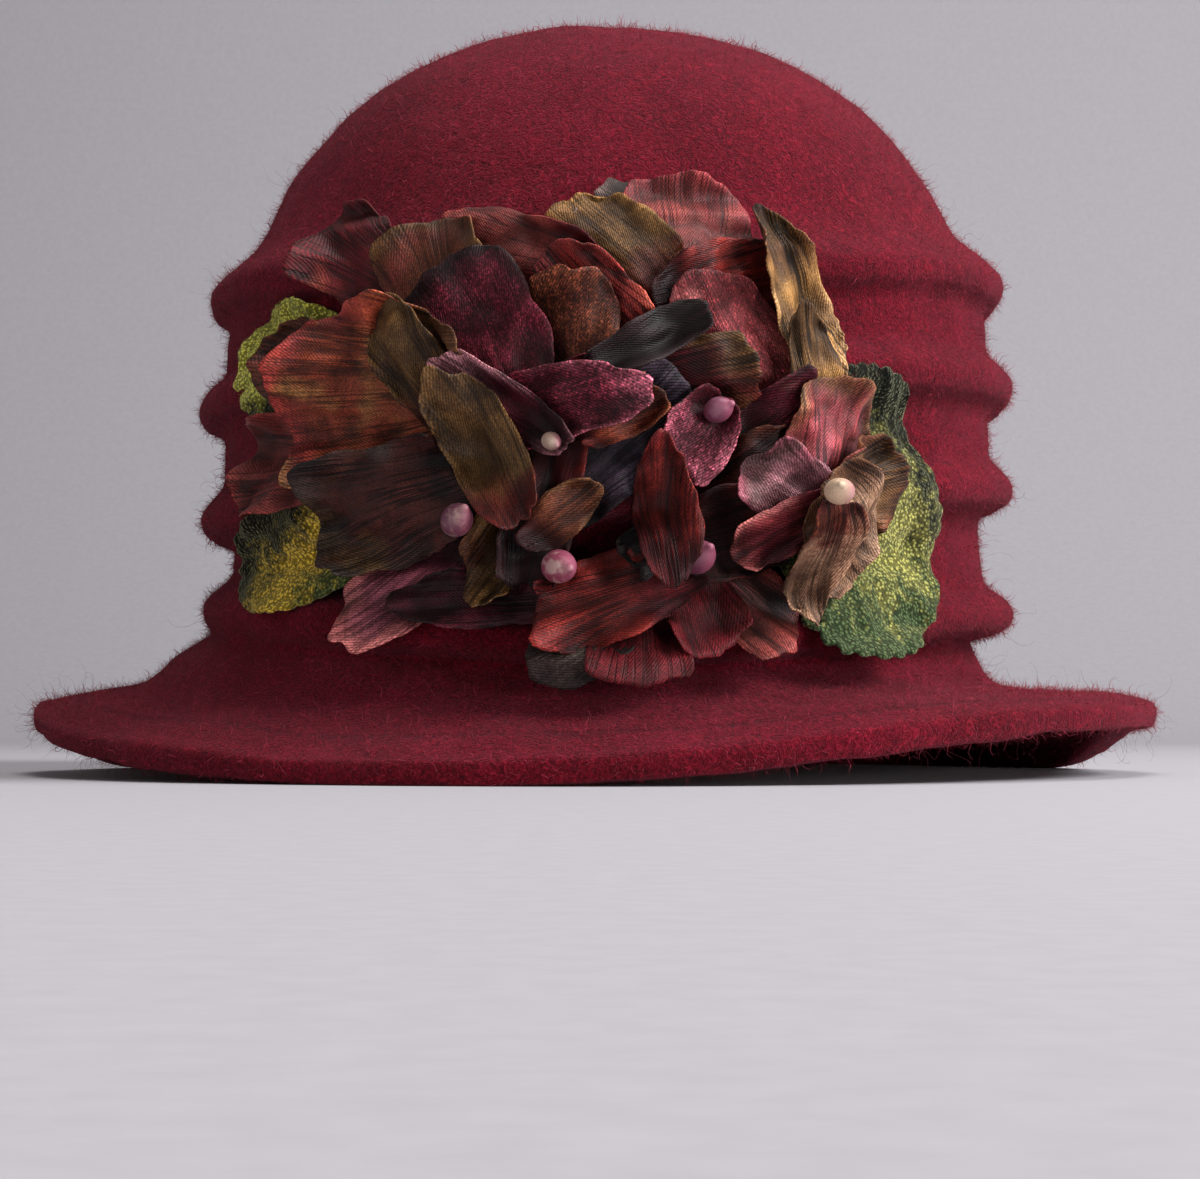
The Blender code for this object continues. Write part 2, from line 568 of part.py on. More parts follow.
def lay_sheet(ground, piece):
    """One petal or leaf: drawn flat, laid over the ground, given its own lift and thickness."""
    leaf = piece["name"].startswith("leaf")
    cells = SMALL_PETAL_GRID if piece["long"] < SMALL_PETAL else LARGE_PETAL_GRID
    if leaf:
        cells = LEAF_GRID
    thickness = LEAF_THICKNESS if leaf else CLOTH_THICKNESS
    long = piece["long"] * PETAL_LENGTH
    wide = piece["wide"] * PETAL_WIDTH
    u, v = outline_grid(*cells, piece["form"])
    forward = u * long / 2
    sideways = v * wide / 2
    turn = math.radians(piece["turn"])
    along = piece["across"] * CORSAGE_WIDTH + forward * math.cos(turn) - sideways * math.sin(turn)
    up = CORSAGE_CENTRE + piece["up"] * CORSAGE_HEIGHT
    up = up + forward * math.sin(turn) + sideways * math.cos(turn)
    base = ground.sample(ground.spread(SOFTNESS), along, up)
    inner = base + piece["rise"] * long * ((u + 1) / 2) ** 2 + piece["cup"] * wide * v ** 2
    inner = inner - SETTLING_DEPTH
    faces = sheet_faces(*cells)
    reach = int(SETTLING_REACH * max(long / cells[0], wide / cells[1]) / CELL)
    for step in range(SETTLING_STEPS):
        places = sheet_places(along, up, inner, cells, (long, wide), thickness)
        need = ground.widened(ground.too_low(places, faces), reach)
        inner = inner + 0.6 * ground.sample(need, along, up)
    places = sheet_places(along, up, inner, cells, (long, wide), thickness)
    placed = ground.settle(places, faces, 1)
    colour = COLOURS[piece["colour"]]
    return new_object(piece["name"], on_crown(placed), faces, colour, 0.9 if leaf else 0.55)


def lay_berry(ground, piece):
    """A small round berry with a pointed nib, leaning on its hidden stalk."""
    radius = piece["size"] * BERRY_RADIUS
    turn = np.linspace(0, 2 * math.pi, BERRY_SIDES, endpoint=False)
    points = []
    for share, height in BERRY_SECTION:
        for angle in turn:
            points.append((share * math.cos(angle), share * math.sin(angle), height))
    points += [(0, 0, 1.50), (0, 0, -1.0)]
    points = radius * np.array(points)
    for lean, axis in ((math.radians(piece["lean_right"]), 0), (math.radians(piece["lean_up"]), 1)):
        sideways = points[:, axis] * math.cos(lean) + points[:, 2] * math.sin(lean)
        outwards = points[:, 2] * math.cos(lean) - points[:, axis] * math.sin(lean)
        points[:, axis] = sideways
        points[:, 2] = outwards
    points[:, 0] += piece["across"] * CORSAGE_WIDTH
    points[:, 1] += CORSAGE_CENTRE + piece["up"] * CORSAGE_HEIGHT
    count = len(BERRY_SECTION) * BERRY_SIDES
    faces = ring_faces(len(BERRY_SECTION), BERRY_SIDES, count, count + 1)
    placed = ground.settle(points, faces, 0)
    return new_object(piece["name"], on_crown(placed), faces, COLOURS[piece["colour"]], 0.35)


def build_corsage():
    """Lay every petal, leaf and berry in turn; a berry goes in before the petals that lap it."""
    ground = Ground()
    for row in CORSAGE:
        if row[0] == "petal_upright_rust":
            lay_berry(ground, named(BERRY_COLUMNS, BERRIES[2]))
        lay_sheet(ground, named(CORSAGE_COLUMNS, row))
    for index, row in enumerate(BERRIES):
        if index != 2:
            lay_berry(ground, named(BERRY_COLUMNS, row))


def face_outward(thing):
    """Turn a closed mesh inside out if its faces point inward."""
    mesh = thing.data
    volume = 0.0
    for polygon in mesh.polygons:
        a, b, c = [mesh.vertices[index].co for index in polygon.vertices]
        volume += a.dot(b.cross(c))
    if volume < 0:
        mesh.flip_normals()


def centre_on_floor():
    """Move every piece so that the middle of the whole part stands over the origin."""
    points = np.array([vertex.co[:] for thing in bpy.data.objects for vertex in thing.data.vertices])
    middle = (points.min(axis=0) + points.max(axis=0)) / 2
    for thing in bpy.data.objects:
        for vertex in thing.data.vertices:
            vertex.co.x -= middle[0]
            vertex.co.y -= middle[1]


def main():
    for thing in list(bpy.data.objects):
        bpy.data.objects.remove(thing, do_unlink=True)
    bpy.context.scene.unit_settings.system = "METRIC"
    bpy.context.scene.unit_settings.scale_length = 1.0
    build_felt()
    build_corsage()
    for thing in bpy.data.objects:
        face_outward(thing)
    centre_on_floor()


main()
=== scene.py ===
# %% [markdown]
# # A worn cloche hat in boiled wool, with a cloth corsage
# The CAD model gives the true sizes and places: one felt body, three velvet leaves, forty-six
# cloth petals and six berries. Here each of them gets the surface that the real thing has.
# The felt is smoothed, dented and covered with fibres, the petals become thin creased satin,
# and the leaves and berries get their pile and gloss. Everything stays where the CAD has it.

# %% Load the frame
import math
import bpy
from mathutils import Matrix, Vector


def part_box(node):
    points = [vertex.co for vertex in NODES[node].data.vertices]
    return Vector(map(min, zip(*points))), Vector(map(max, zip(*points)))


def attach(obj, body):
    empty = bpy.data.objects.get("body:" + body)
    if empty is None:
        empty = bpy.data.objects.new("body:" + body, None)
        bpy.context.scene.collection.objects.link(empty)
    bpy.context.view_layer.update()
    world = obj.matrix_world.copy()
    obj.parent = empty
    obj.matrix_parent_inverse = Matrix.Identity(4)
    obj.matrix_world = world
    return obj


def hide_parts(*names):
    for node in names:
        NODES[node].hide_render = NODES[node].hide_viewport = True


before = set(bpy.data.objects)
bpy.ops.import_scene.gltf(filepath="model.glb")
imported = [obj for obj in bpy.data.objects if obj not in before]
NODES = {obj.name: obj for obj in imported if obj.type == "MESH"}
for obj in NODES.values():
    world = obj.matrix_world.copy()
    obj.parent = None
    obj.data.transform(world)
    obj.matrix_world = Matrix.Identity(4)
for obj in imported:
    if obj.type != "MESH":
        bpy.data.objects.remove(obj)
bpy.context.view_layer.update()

from types import SimpleNamespace

import bmesh
import bpy
import numpy as np
from mathutils import Matrix, Vector, noise
from mathutils.bvhtree import BVHTree

# %% [markdown]
# ## The hat's own measures
# The crown is an oval tube, so places on the corsage are easiest to give as a way along the
# crown, a height, and a distance out from it, as if the crown had been unrolled flat. The
# same sizes as in the CAD source turn points in space into such places and back.

# %% Sizes of the crown and where its middle stands
CROWN_HALF_WIDTH = 0.086
CROWN_HALF_DEPTH = 0.102
CORSAGE_REACH = 0.012
BRIM_HALF_WIDTH = 0.1256
BRIM_HALF_DEPTH = 0.132
BRIM_SHIFT_X = -0.0029
BRIM_SHIFT_Y = -0.002
FELT_LOW, FELT_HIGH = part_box("felt_hat")
CROWN_X = (FELT_LOW.x + FELT_HIGH.x) / 2 - BRIM_SHIFT_X
CROWN_Y = (FELT_LOW.y + FELT_HIGH.y) / 2 - BRIM_SHIFT_Y
print("crown middle", round(CROWN_X, 4), round(CROWN_Y, 4))


def arc_table():
    """Angles round the front of the crown and the way along it from the front centre."""
    angle = np.linspace(-math.pi, 0, 1441)
    x = (CROWN_HALF_WIDTH + CORSAGE_REACH) * np.cos(angle)
    y = (CROWN_HALF_DEPTH + CORSAGE_REACH) * np.sin(angle)
    way = np.concatenate([[0], np.cumsum(np.hypot(np.diff(x), np.diff(y)))])
    return angle, way - np.interp(-math.pi / 2, angle, way)


ANGLES, WAYS = arc_table()


def unroll(points):
    """Points in space as rows of (way along the crown, height, distance out from it)."""
    x = points[:, 0] - CROWN_X
    y = points[:, 1] - CROWN_Y
    out = np.zeros(len(x))
    for _ in range(14):
        turn = np.arctan2(y / (CROWN_HALF_DEPTH + out), x / (CROWN_HALF_WIDTH + out))
        reach = np.hypot(x / (CROWN_HALF_WIDTH + out), y / (CROWN_HALF_DEPTH + out))
        oval = CROWN_HALF_WIDTH * np.cos(turn) ** 2 + CROWN_HALF_DEPTH * np.sin(turn) ** 2
        out = out + (reach - 1) * (oval + out)
    return np.stack([np.interp(turn, ANGLES, WAYS), points[:, 2], out], axis=1)


def roll(places):
    """Rows of (way along the crown, height, distance out) as points in space."""
    turn = np.interp(places[:, 0], WAYS, ANGLES)
    x = CROWN_X + (CROWN_HALF_WIDTH + places[:, 2]) * np.cos(turn)
    y = CROWN_Y + (CROWN_HALF_DEPTH + places[:, 2]) * np.sin(turn)
    return np.stack([x, y, places[:, 1]], axis=1)


# %% [markdown]
# ## Small tools
# A material is a handful of nodes, so adding and joining them gets a few short helpers. A
# value on its way through a tree is kept as a Wire, which adds and multiplies like a number.
# Colours are written as they look on screen, from 0 to 255, and turned into the linear
# values that the shader works with.

# %% Helpers for nodes and colours
WHITE = (1.0, 1.0, 1.0, 1.0)


def tone(red, green, blue):
    """A colour as seen on screen, turned into the shader's linear red, green and blue."""
    linear = []
    for value in (red, green, blue):
        share = value / 255
        linear.append(share / 12.92 if share <= 0.04045 else ((share + 0.055) / 1.055) ** 2.4)
    return (*linear, 1.0)


def feed(tree, node, inputs):
    """Link other nodes' sockets to a node's inputs, and write plain numbers on the rest."""
    for key, value in inputs.items():
        source = value.socket if isinstance(value, Wire) else value
        if isinstance(source, bpy.types.NodeSocket):
            tree.links.new(source, node.inputs[key])
        else:
            node.inputs[key].default_value = source


def add(tree, kind, inputs=None, **settings):
    """Add a node, set its options and feed its inputs."""
    node = tree.nodes.new(kind)
    for key, value in settings.items():
        setattr(node, key, value)
    feed(tree, node, inputs or {})
    return node


class Wire:
    """A value on its way through a node tree, with which one reckons as with a number."""

    def __init__(self, tree, socket):
        self.tree = tree
        self.socket = socket

    def step(self, operation, first, second=0.0):
        """One step of arithmetic."""
        node = add(self.tree, "ShaderNodeMath", {0: first, 1: second}, operation=operation)
        return Wire(self.tree, node.outputs[0])

    def __add__(self, other):
        return self.step("ADD", self, other)

    def __sub__(self, other):
        return self.step("SUBTRACT", self, other)

    def __rsub__(self, other):
        return self.step("SUBTRACT", other, self)

    def __mul__(self, other):
        return self.step("MULTIPLY", self, other)

    def __truediv__(self, other):
        return self.step("DIVIDE", self, other)

    def __abs__(self):
        return self.step("ABSOLUTE", self)

    def window(self, low, high):
        """A smooth step from 0 to 1 as the value goes from low to high."""
        node = add(self.tree, "ShaderNodeMapRange",
                   {"Value": self, "From Min": low, "From Max": high},
                   interpolation_type="SMOOTHSTEP")
        return Wire(self.tree, node.outputs[0])


def blend(tree, share, first, second, way="MIX"):
    """Mix two colours by a share."""
    mix = add(tree, "ShaderNodeMix", {0: share, 6: first, 7: second},
              data_type="RGBA", blend_type=way)
    return mix.outputs[2]


def tinted(tree, colour, tint):
    """A colour multiplied by another."""
    return blend(tree, 1.0, colour, tint, "MULTIPLY")


def noise_of(tree, vector, scale, detail=2.0, roughness=0.5, distortion=0.0):
    """Cloudy noise between 0 and 1 on a coordinate."""
    cloud = add(tree, "ShaderNodeTexNoise", {"Vector": vector, "Scale": scale, "Detail": detail,
                                             "Roughness": roughness, "Distortion": distortion})
    return Wire(tree, cloud.outputs[0])


def mapped(tree, vector, **changes):
    """A coordinate that is shifted, turned or stretched."""
    return add(tree, "ShaderNodeMapping", {"Vector": vector, **changes}).outputs[0]


def parts_of(tree, vector):
    """The three numbers of a vector."""
    return [Wire(tree, part) for part in add(tree, "ShaderNodeSeparateXYZ", {0: vector}).outputs]


def marked(tree, name, kind="Vector"):
    """What a mesh has stored under a name."""
    return add(tree, "ShaderNodeAttribute", attribute_name=name).outputs[kind]


def spot_of(tree):
    """The place on the object, in metres."""
    return add(tree, "ShaderNodeTexCoord").outputs["Object"]


def bumped(tree, height, strength, distance):
    """Normals bent by a height."""
    bump = add(tree, "ShaderNodeBump", {"Height": height, "Strength": strength, "Distance": distance})
    return bump.outputs[0]


def new_material(name):
    """A material with only its Principled shader and output, ready to be wired."""
    material = bpy.data.materials.new(name)
    material.use_nodes = True
    tree = material.node_tree
    return material, tree, tree.nodes["Principled BSDF"]


# %% Helpers for pieces
def linked(name, data):
    """An object in the scene."""
    thing = bpy.data.objects.new(name, data)
    bpy.context.scene.collection.objects.link(thing)
    return thing


def new_piece(name, mesh, material):
    """Put a mesh in the scene as a piece of the hat, with smooth shading and its material."""
    mesh.materials.clear()
    mesh.materials.append(material)
    mesh.polygons.foreach_set("use_smooth", [True] * len(mesh.polygons))
    return linked(name, mesh)


def finish_piece(piece, slot, *nodes):
    """The piece rides with the hat and stands for its CAD nodes; the slot it is given is not used."""
    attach(piece, "root")
    if nodes:
        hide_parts(*nodes)


def settled_mesh(thing, name):
    """The mesh of an object with its modifiers worked in."""
    seen = thing.evaluated_get(bpy.context.evaluated_depsgraph_get())
    mesh = bpy.data.meshes.new_from_object(seen)
    mesh.name = name
    return mesh


def built_mesh(name, points, faces):
    """A mesh from its points and faces."""
    mesh = bpy.data.meshes.new(name)
    mesh.from_pydata(points, [], faces)
    mesh.update()
    return mesh


def store(mesh, name, kind, values):
    """Store a number or a vector for each point of a mesh under a name."""
    layer = mesh.attributes.new(name, kind, "POINT")
    key = "value" if kind == "FLOAT" else "vector"
    layer.data.foreach_set(key, values.reshape(-1).astype(np.float32))


def mesh_points(mesh):
    """A mesh's points as rows of x, y, z."""
    points = np.zeros(len(mesh.vertices) * 3)
    mesh.vertices.foreach_get("co", points)
    return points.reshape(-1, 3)


def mesh_normals(mesh):
    """A mesh's point normals as rows."""
    normals = np.zeros(len(mesh.vertices) * 3)
    mesh.vertex_normals.foreach_get("vector", normals)
    return normals.reshape(-1, 3)


def move_points(mesh, points):
    """Put a mesh's points in new places."""
    mesh.vertices.foreach_set("co", points.ravel())
    mesh.update()


def merged_form(name, flatness):
    """A CAD node's loose triangles, merged and joined into four-sided faces."""
    form = bmesh.new()
    form.from_mesh(NODES[name].data)
    bmesh.ops.remove_doubles(form, verts=form.verts, dist=1e-6)
    bmesh.ops.join_triangles(form, faces=form.faces, angle_face_threshold=math.radians(flatness),
                             angle_shape_threshold=math.radians(175))
    return form


def form_mesh(form, name):
    """A worked form as a mesh."""
    mesh = bpy.data.meshes.new(name)
    form.to_mesh(mesh)
    form.free()
    return mesh


# %% [markdown]
# ## The corsage, piece by piece
# Forty-six petals, three leaves and six berries were sewn on one after another. Each petal
# is dipped from one colour at its foot through another in its body to a third at its rim,
# with blots of a fourth. The table gives them in sewing order, with the way each one points,
# its outline, its colours, and how strongly it is pleated, curled, ruffled and glittered.

# %% Colours of the cloth
DYES = {
    "wine": tone(88, 22, 30), "deep_wine": tone(58, 10, 16), "coral": tone(150, 60, 56),
    "pale_coral": tone(176, 92, 76), "rose": tone(152, 72, 78), "pale_rose": tone(196, 128, 128),
    "dusty": tone(124, 60, 56), "rust": tone(112, 37, 32), "orange": tone(140, 70, 46),
    "brown": tone(98, 58, 38), "umber": tone(66, 32, 26), "black": tone(30, 18, 20),
    "soot": tone(52, 50, 46), "grey": tone(98, 90, 86), "navy": tone(50, 46, 60),
    "plum": tone(92, 34, 50), "deep_plum": tone(52, 16, 28), "mauve": tone(142, 84, 102),
    "lilac": tone(160, 120, 132), "olive": tone(94, 76, 42), "deep_olive": tone(66, 50, 26),
    "gold": tone(152, 126, 72), "straw": tone(186, 162, 112), "khaki": tone(128, 100, 66),
    "beige": tone(176, 156, 128),
}

# %% Petals in sewing order
COLUMNS = ("name", "turn", "form", "foot", "body", "rim", "blot", "slot",
           "pleats", "depth", "curl", "ruffle", "waves", "glitter")
LOOKS = """
charcoal_top 150 round black soot grey soot charcoal 5 0.7 1.0 0.6 3 0.2
rose_top 85 broad wine dusty rose wine rose 5 0.8 1.6 1.2 4 0.0
khaki_top 140 round rust olive gold brown olive 6 0.6 1.2 0.5 3 0.3
dusty_top 165 broad wine dusty dusty dusty dusty 5 0.6 1.2 0.8 4 0.0
wine_top_left 150 broad deep_wine wine wine pale_coral wine 7 1.0 1.8 1.5 5 0.0
taupe_top 110 broad umber brown olive dusty olive 5 0.5 1.0 0.7 4 0.2
dusty_left 180 broad wine dusty dusty rust dusty 6 0.9 1.4 1.4 5 0.0
brown_left 170 round umber brown brown dusty brown 7 1.0 1.0 0.6 3 0.0
rust_right 15 broad deep_wine rust rust coral rust 8 1.3 1.0 0.8 4 0.0
rosy_right -58 round rose rose khaki pale_rose rose 4 0.6 1.0 0.5 3 0.7
gold_right_upper -65 round khaki gold straw olive gold 8 1.6 1.2 0.8 4 0.0
gold_right_lower -78 pointed olive gold khaki straw gold 7 1.5 0.8 0.6 3 0.0
violet_lower_left -145 broad deep_plum mauve pale_rose plum mauve 5 0.7 1.4 1.0 3 0.0
silver_bottom -150 round black soot soot black charcoal 4 0.6 1.2 1.2 5 0.5
wine_bottom -95 broad deep_wine wine wine plum wine 6 0.8 1.2 1.0 4 0.2
brown_lower_right -40 broad deep_wine umber dusty plum umber 7 1.1 1.2 1.0 4 0.0
wine_lower_right -70 broad deep_wine wine wine umber wine 6 0.9 1.0 0.8 4 0.1
plum_bottom -178 pointed wine deep_plum black plum umber 6 1.2 1.0 0.6 3 0.0
coral_centre -50 broad coral coral pale_coral rose coral 8 1.4 1.0 0.5 3 0.0
brown_glitter 90 round black brown brown umber brown 3 0.3 0.8 0.3 3 1.0
plum_velvet 120 broad plum plum black black plum 3 0.3 0.8 0.6 3 1.0
main_left 180 round khaki orange coral gold brown 9 1.1 1.8 1.8 5 0.0
olive_left_overlap 120 round rust olive olive brown olive 6 1.0 0.8 0.6 3 0.0
charcoal_left -165 broad black umber soot olive umber 7 1.3 2.0 1.6 4 0.0
coral_lower -160 broad deep_wine rust rust wine rust 6 1.0 1.6 1.6 5 0.0
olive_lower -120 pointed deep_olive olive olive brown olive 5 0.9 1.4 0.6 3 0.0
wine_olive_edge 8 broad deep_wine deep_wine olive wine wine 5 1.2 1.4 1.0 3 0.0
black_fold 30 round black black black black charcoal 3 0.6 1.2 0.4 2 0.1
navy 40 broad black navy navy grey navy 7 1.2 1.0 0.8 4 0.0
plum_right_centre 35 broad deep_plum plum deep_plum umber plum 6 1.0 1.0 0.8 4 0.4
brown_fold_right 30 broad deep_wine umber brown black umber 7 1.3 1.2 0.8 4 0.0
umber_right 15 broad black umber deep_wine black umber 6 1.1 1.0 0.8 4 0.0
maroon_inner 80 broad deep_wine deep_wine rust black wine 5 1.1 1.4 0.8 3 0.0
tan_inner 38 pointed deep_wine brown khaki umber brown 4 0.8 1.6 0.4 2 0.0
brown_curl 30 round rust orange brown umber rust 4 0.8 1.8 0.6 3 0.2
mauve_glitter -120 round plum mauve mauve plum mauve 3 0.4 1.2 0.4 3 1.0
plum_triangle 8 pointed plum plum mauve deep_plum plum 3 0.3 0.8 0.2 2 1.0
plum_strip 145 round deep_plum plum lilac lilac plum 5 1.2 1.2 0.4 2 0.3
olive_long 118 round rust olive olive deep_olive olive 6 0.8 1.6 0.5 3 0.0
upright_rust 92 pointed wine rust rust wine rust 5 1.0 1.4 0.4 2 0.0
rose_right 75 broad rust rose khaki mauve rose 8 1.3 1.4 0.8 4 0.0
mauve_right 150 broad plum lilac mauve grey mauve 4 0.6 1.6 1.2 4 0.0
rose_small_right -150 broad plum rose pale_rose plum rose 4 0.8 1.4 1.0 4 0.0
khaki_right_upper 15 broad rose khaki brown olive khaki 8 1.3 1.2 0.8 4 0.0
beige_right -35 broad khaki beige beige khaki khaki 8 1.2 1.2 0.8 4 0.0
beige_point -70 pointed rust beige beige brown khaki 6 1.3 1.2 0.6 3 0.0
"""
FULLER = {
    "maroon_inner": 0.55, "navy": 0.42, "umber_right": 0.42, "coral_lower": 0.20,
    "brown_fold_right": 0.26, "tan_inner": 0.18, "wine_lower_right": 0.24,
    "brown_lower_right": 0.24, "wine_bottom": 0.26, "plum_bottom": 0.20, "coral_centre": 0.18,
    "plum_right_centre": 0.24, "wine_olive_edge": 0.24, "gold_right_upper": 0.08,
    "gold_right_lower": 0.08, "dusty_left": 0.18,
}
LONG_FOOTED = {"maroon_inner": 0.25, "umber_right": 0.5, "brown_fold_right": 0.3, "navy": 0.8}


def petal_look(row):
    """A row of the table with its columns' names, and how much fuller the petal is drawn."""
    entries = [word if word[0].isalpha() else float(word) for word in row.split()]
    look = SimpleNamespace(**dict(zip(COLUMNS, entries)), ragged=0.11, lobes=0, swell=1.0)
    look.grow = FULLER.get(look.name, 0.12)
    look.foot_reach = LONG_FOOTED.get(look.name, 0.0)
    look.name = "petal_" + look.name
    return look


PETALS = [petal_look(row) for row in LOOKS.strip().splitlines()]
print(len(PETALS), "petals in", len({look.slot for look in PETALS}), "colours")

# %% Leaves and berries
LEAF_COLUMNS = ("name", "turn", "lobes", "light", "dark", "black", "dark_side", "black_side", "grow")
LEAF_ROWS = (
    ("leaf_upper_left", 165, 30, (214, 210, 88), (120, 122, 52), (22, 24, 20),
     (0.3, -0.4), (0.5, -1.6), 0.10),
    ("leaf_lower_left", -172, 34, (246, 208, 70), (86, 98, 44), (34, 30, 22),
     (0.9, -0.5), (-0.9, 0.6), 0.10),
    ("leaf_right", -78, 42, (190, 186, 104), (70, 92, 58), (34, 36, 34),
     (0.0, -0.8), (0.5, 0.9), 0.16),
)
BERRY_COLUMNS = ("name", "body", "tip", "speck", "slot", "slim")
BERRY_ROWS = (
    ("berry_lower_left", (112, 62, 80), (178, 146, 138), (82, 42, 58), "berry_mauve", 1.0),
    ("berry_lower_middle", (142, 64, 86), (202, 172, 162), (104, 32, 54), "berry_mauve", 1.0),
    ("berry_lower_right", (106, 52, 74), (136, 82, 100), (78, 36, 54), "berry_mauve", 1.0),
    ("berry_centre_right", (118, 62, 84), (146, 90, 110), (86, 42, 62), "berry_mauve", 1.0),
    ("berry_centre", (168, 140, 124), (206, 186, 166), (120, 84, 78), "berry_cream", 1.0),
    ("berry_right", (206, 176, 146), (222, 200, 168), (136, 92, 80), "berry_cream", 0.82),
)
LEAVES = [SimpleNamespace(**dict(zip(LEAF_COLUMNS, row)), form="leaf", ragged=0.035, foot_reach=0.0,
                          swell=1.2, pleats=3, depth=1.0, curl=0.5, ruffle=0.8, waves=4)
          for row in LEAF_ROWS]
BERRIES = [SimpleNamespace(**dict(zip(BERRY_COLUMNS, row))) for row in BERRY_ROWS]
print(len(LEAVES), "leaves,", len(BERRIES), "berries")

# %% [markdown]
# ## The corsage as a stack
# The petals lie on each other in the order they were sewn on. Unrolled flat, the whole stack
# can be searched with rays: from any place, looking in towards the crown, one meets what lies
# over a petal and then what lies under it. The felt needs this first, because no nap should
# grow through the petals that cover it.

# %% Search the stack
OUTWARD = Vector((0, 0, 1))
FAR_OUT = 0.12
BELOW_ALL = -0.02
RAY_STEP = 0.00001


def laying_order():
    """All nodes from the felt outwards. One berry lies under the last flower's petals."""
    petals = [look.name for look in PETALS]
    berries = [look.name for look in BERRIES]
    berries.remove("berry_lower_right")
    last = petals.index("petal_upright_rust")
    return ["felt_hat", *(leaf.name for leaf in LEAVES), *petals[:last], "berry_lower_right",
            *petals[last:], *berries]


LAID = laying_order()
ORDER = {name: index for index, name in enumerate(LAID)}


def unrolled(name):
    """A CAD node's points as places along the crown, and its triangles."""
    mesh = NODES[name].data
    return unroll(mesh_points(mesh)), [tuple(face.vertices) for face in mesh.polygons]


def stack_tree():
    """All nodes as one search tree, with the owner of each triangle."""
    points = []
    faces = []
    owners = []
    for name in LAID:
        places, triangles = unrolled(name)
        base = len(points)
        points.extend(Vector(place) for place in places)
        faces.extend(tuple(base + corner for corner in face) for face in triangles)
        owners.extend([name] * len(triangles))
    return BVHTree.FromPolygons(points, faces), owners


STACK, OWNERS = stack_tree()
print("stack of", len(LAID), "nodes,", len(OWNERS), "triangles")


def between(order, along, up):
    """At a place, how far out the stack reaches under a piece, and where the next one starts."""
    start = Vector((along, up, FAR_OUT))
    over = FAR_OUT
    for _ in range(60):
        spot, _, index, _ = STACK.ray_cast(start, -OUTWARD)
        if spot is None:
            return BELOW_ALL, over
        owner = ORDER[OWNERS[index]]
        if owner > order:
            over = min(over, spot.z)
        elif owner < order:
            return spot.z, over
        start = spot - OUTWARD * RAY_STEP
    return BELOW_ALL, over


# %% [markdown]
# ## The felt body
# The hat is one piece of boiled wool: a dome, four soft tucks, and a brim with a turned hem.
# It could be sculpted afresh, but the CAD mesh already has the right form, so a merged copy
# of it is turned back into four-sided faces and subdivided. Subdivision pulls a surface in
# from its corners. The corners are therefore pushed out beforehand by what they would lose,
# so that the smooth surface passes through the CAD's own points.

# %% Smooth the felt through the CAD's points
def smooth_felt(levels):
    """Subdivide the felt so that it still passes through the points of the CAD mesh."""
    coarse = form_mesh(merged_form("felt_hat", 50), "felt_form")
    wanted = mesh_points(coarse)
    shaper = linked("felt_shaper", coarse)
    modifier = shaper.modifiers.new("smooth", "SUBSURF")
    modifier.levels = modifier.render_levels = levels
    for _ in range(3):
        reached = mesh_points(settled_mesh(shaper, "felt_try"))[:len(wanted)]
        move_points(coarse, mesh_points(coarse) + 0.8 * (wanted - reached))
    mesh = settled_mesh(shaper, "felt_body")
    bpy.data.objects.remove(shaper)
    return mesh


FELT_MESH = smooth_felt(2)
print("felt", len(FELT_MESH.vertices), "points", len(FELT_MESH.polygons), "faces")

# %% [markdown]
# Boiled wool is never quite even: it has soft dents from handling, and its surface is lumpy
# at the size of a fingertip and again at the size of a knitted stitch. Three sizes of noise
# move the points a little along their normals. The underside of the rim stays level,
# because the hat rests on it.

# %% Dents and lumps of worn felt
FELT_LUMPS = ((26.0, 0.0011), (95.0, 0.0005), (330.0, 0.00022))
RESTING_HEIGHT = 0.004


def drawn_together(mesh, values, share, passes):
    """Move rows of values, one for each point, some way towards the mean of their neighbours."""
    ends = np.zeros(len(mesh.edges) * 2, int)
    mesh.edges.foreach_get("vertices", ends)
    ends = ends.reshape(-1, 2)
    count = np.bincount(ends.ravel(), minlength=len(values))[:, None]
    for _ in range(passes):
        near = np.zeros(values.shape)
        np.add.at(near, ends[:, 0], values[ends[:, 1]])
        np.add.at(near, ends[:, 1], values[ends[:, 0]])
        values = values + share * (near / count - values)
    return values


def towards_rim(points):
    """How far out on the brim points lie, with 1 at its widest."""
    across = (points[:, 0] - CROWN_X) / BRIM_HALF_WIDTH
    return np.hypot(across, (points[:, 1] - CROWN_Y) / BRIM_HALF_DEPTH)


def round_hem(mesh, passes):
    """Soften the corners of the brim's hem by moving its points towards their neighbours."""
    points = mesh_points(mesh)
    share = (np.clip((towards_rim(points) - 0.90) * 16, 0, 1) * 0.6)[:, None]
    move_points(mesh, drawn_together(mesh, points, share, passes))


def dent_felt(mesh):
    """Move the felt's points along their normals by noise of three sizes."""
    points = mesh_points(mesh)
    normals = mesh_normals(mesh)
    moved = np.zeros(len(points))
    for index, point in enumerate(points):
        for scale, depth in FELT_LUMPS:
            moved[index] += depth * noise.noise(Vector(point * scale))
    resting = np.clip(points[:, 2] / RESTING_HEIGHT, 0, 1)
    points = points + normals * (moved * resting)[:, None]
    points[:, 2] = np.maximum(points[:, 2], 0)
    move_points(mesh, points)


round_hem(FELT_MESH, 7)
dent_felt(FELT_MESH)
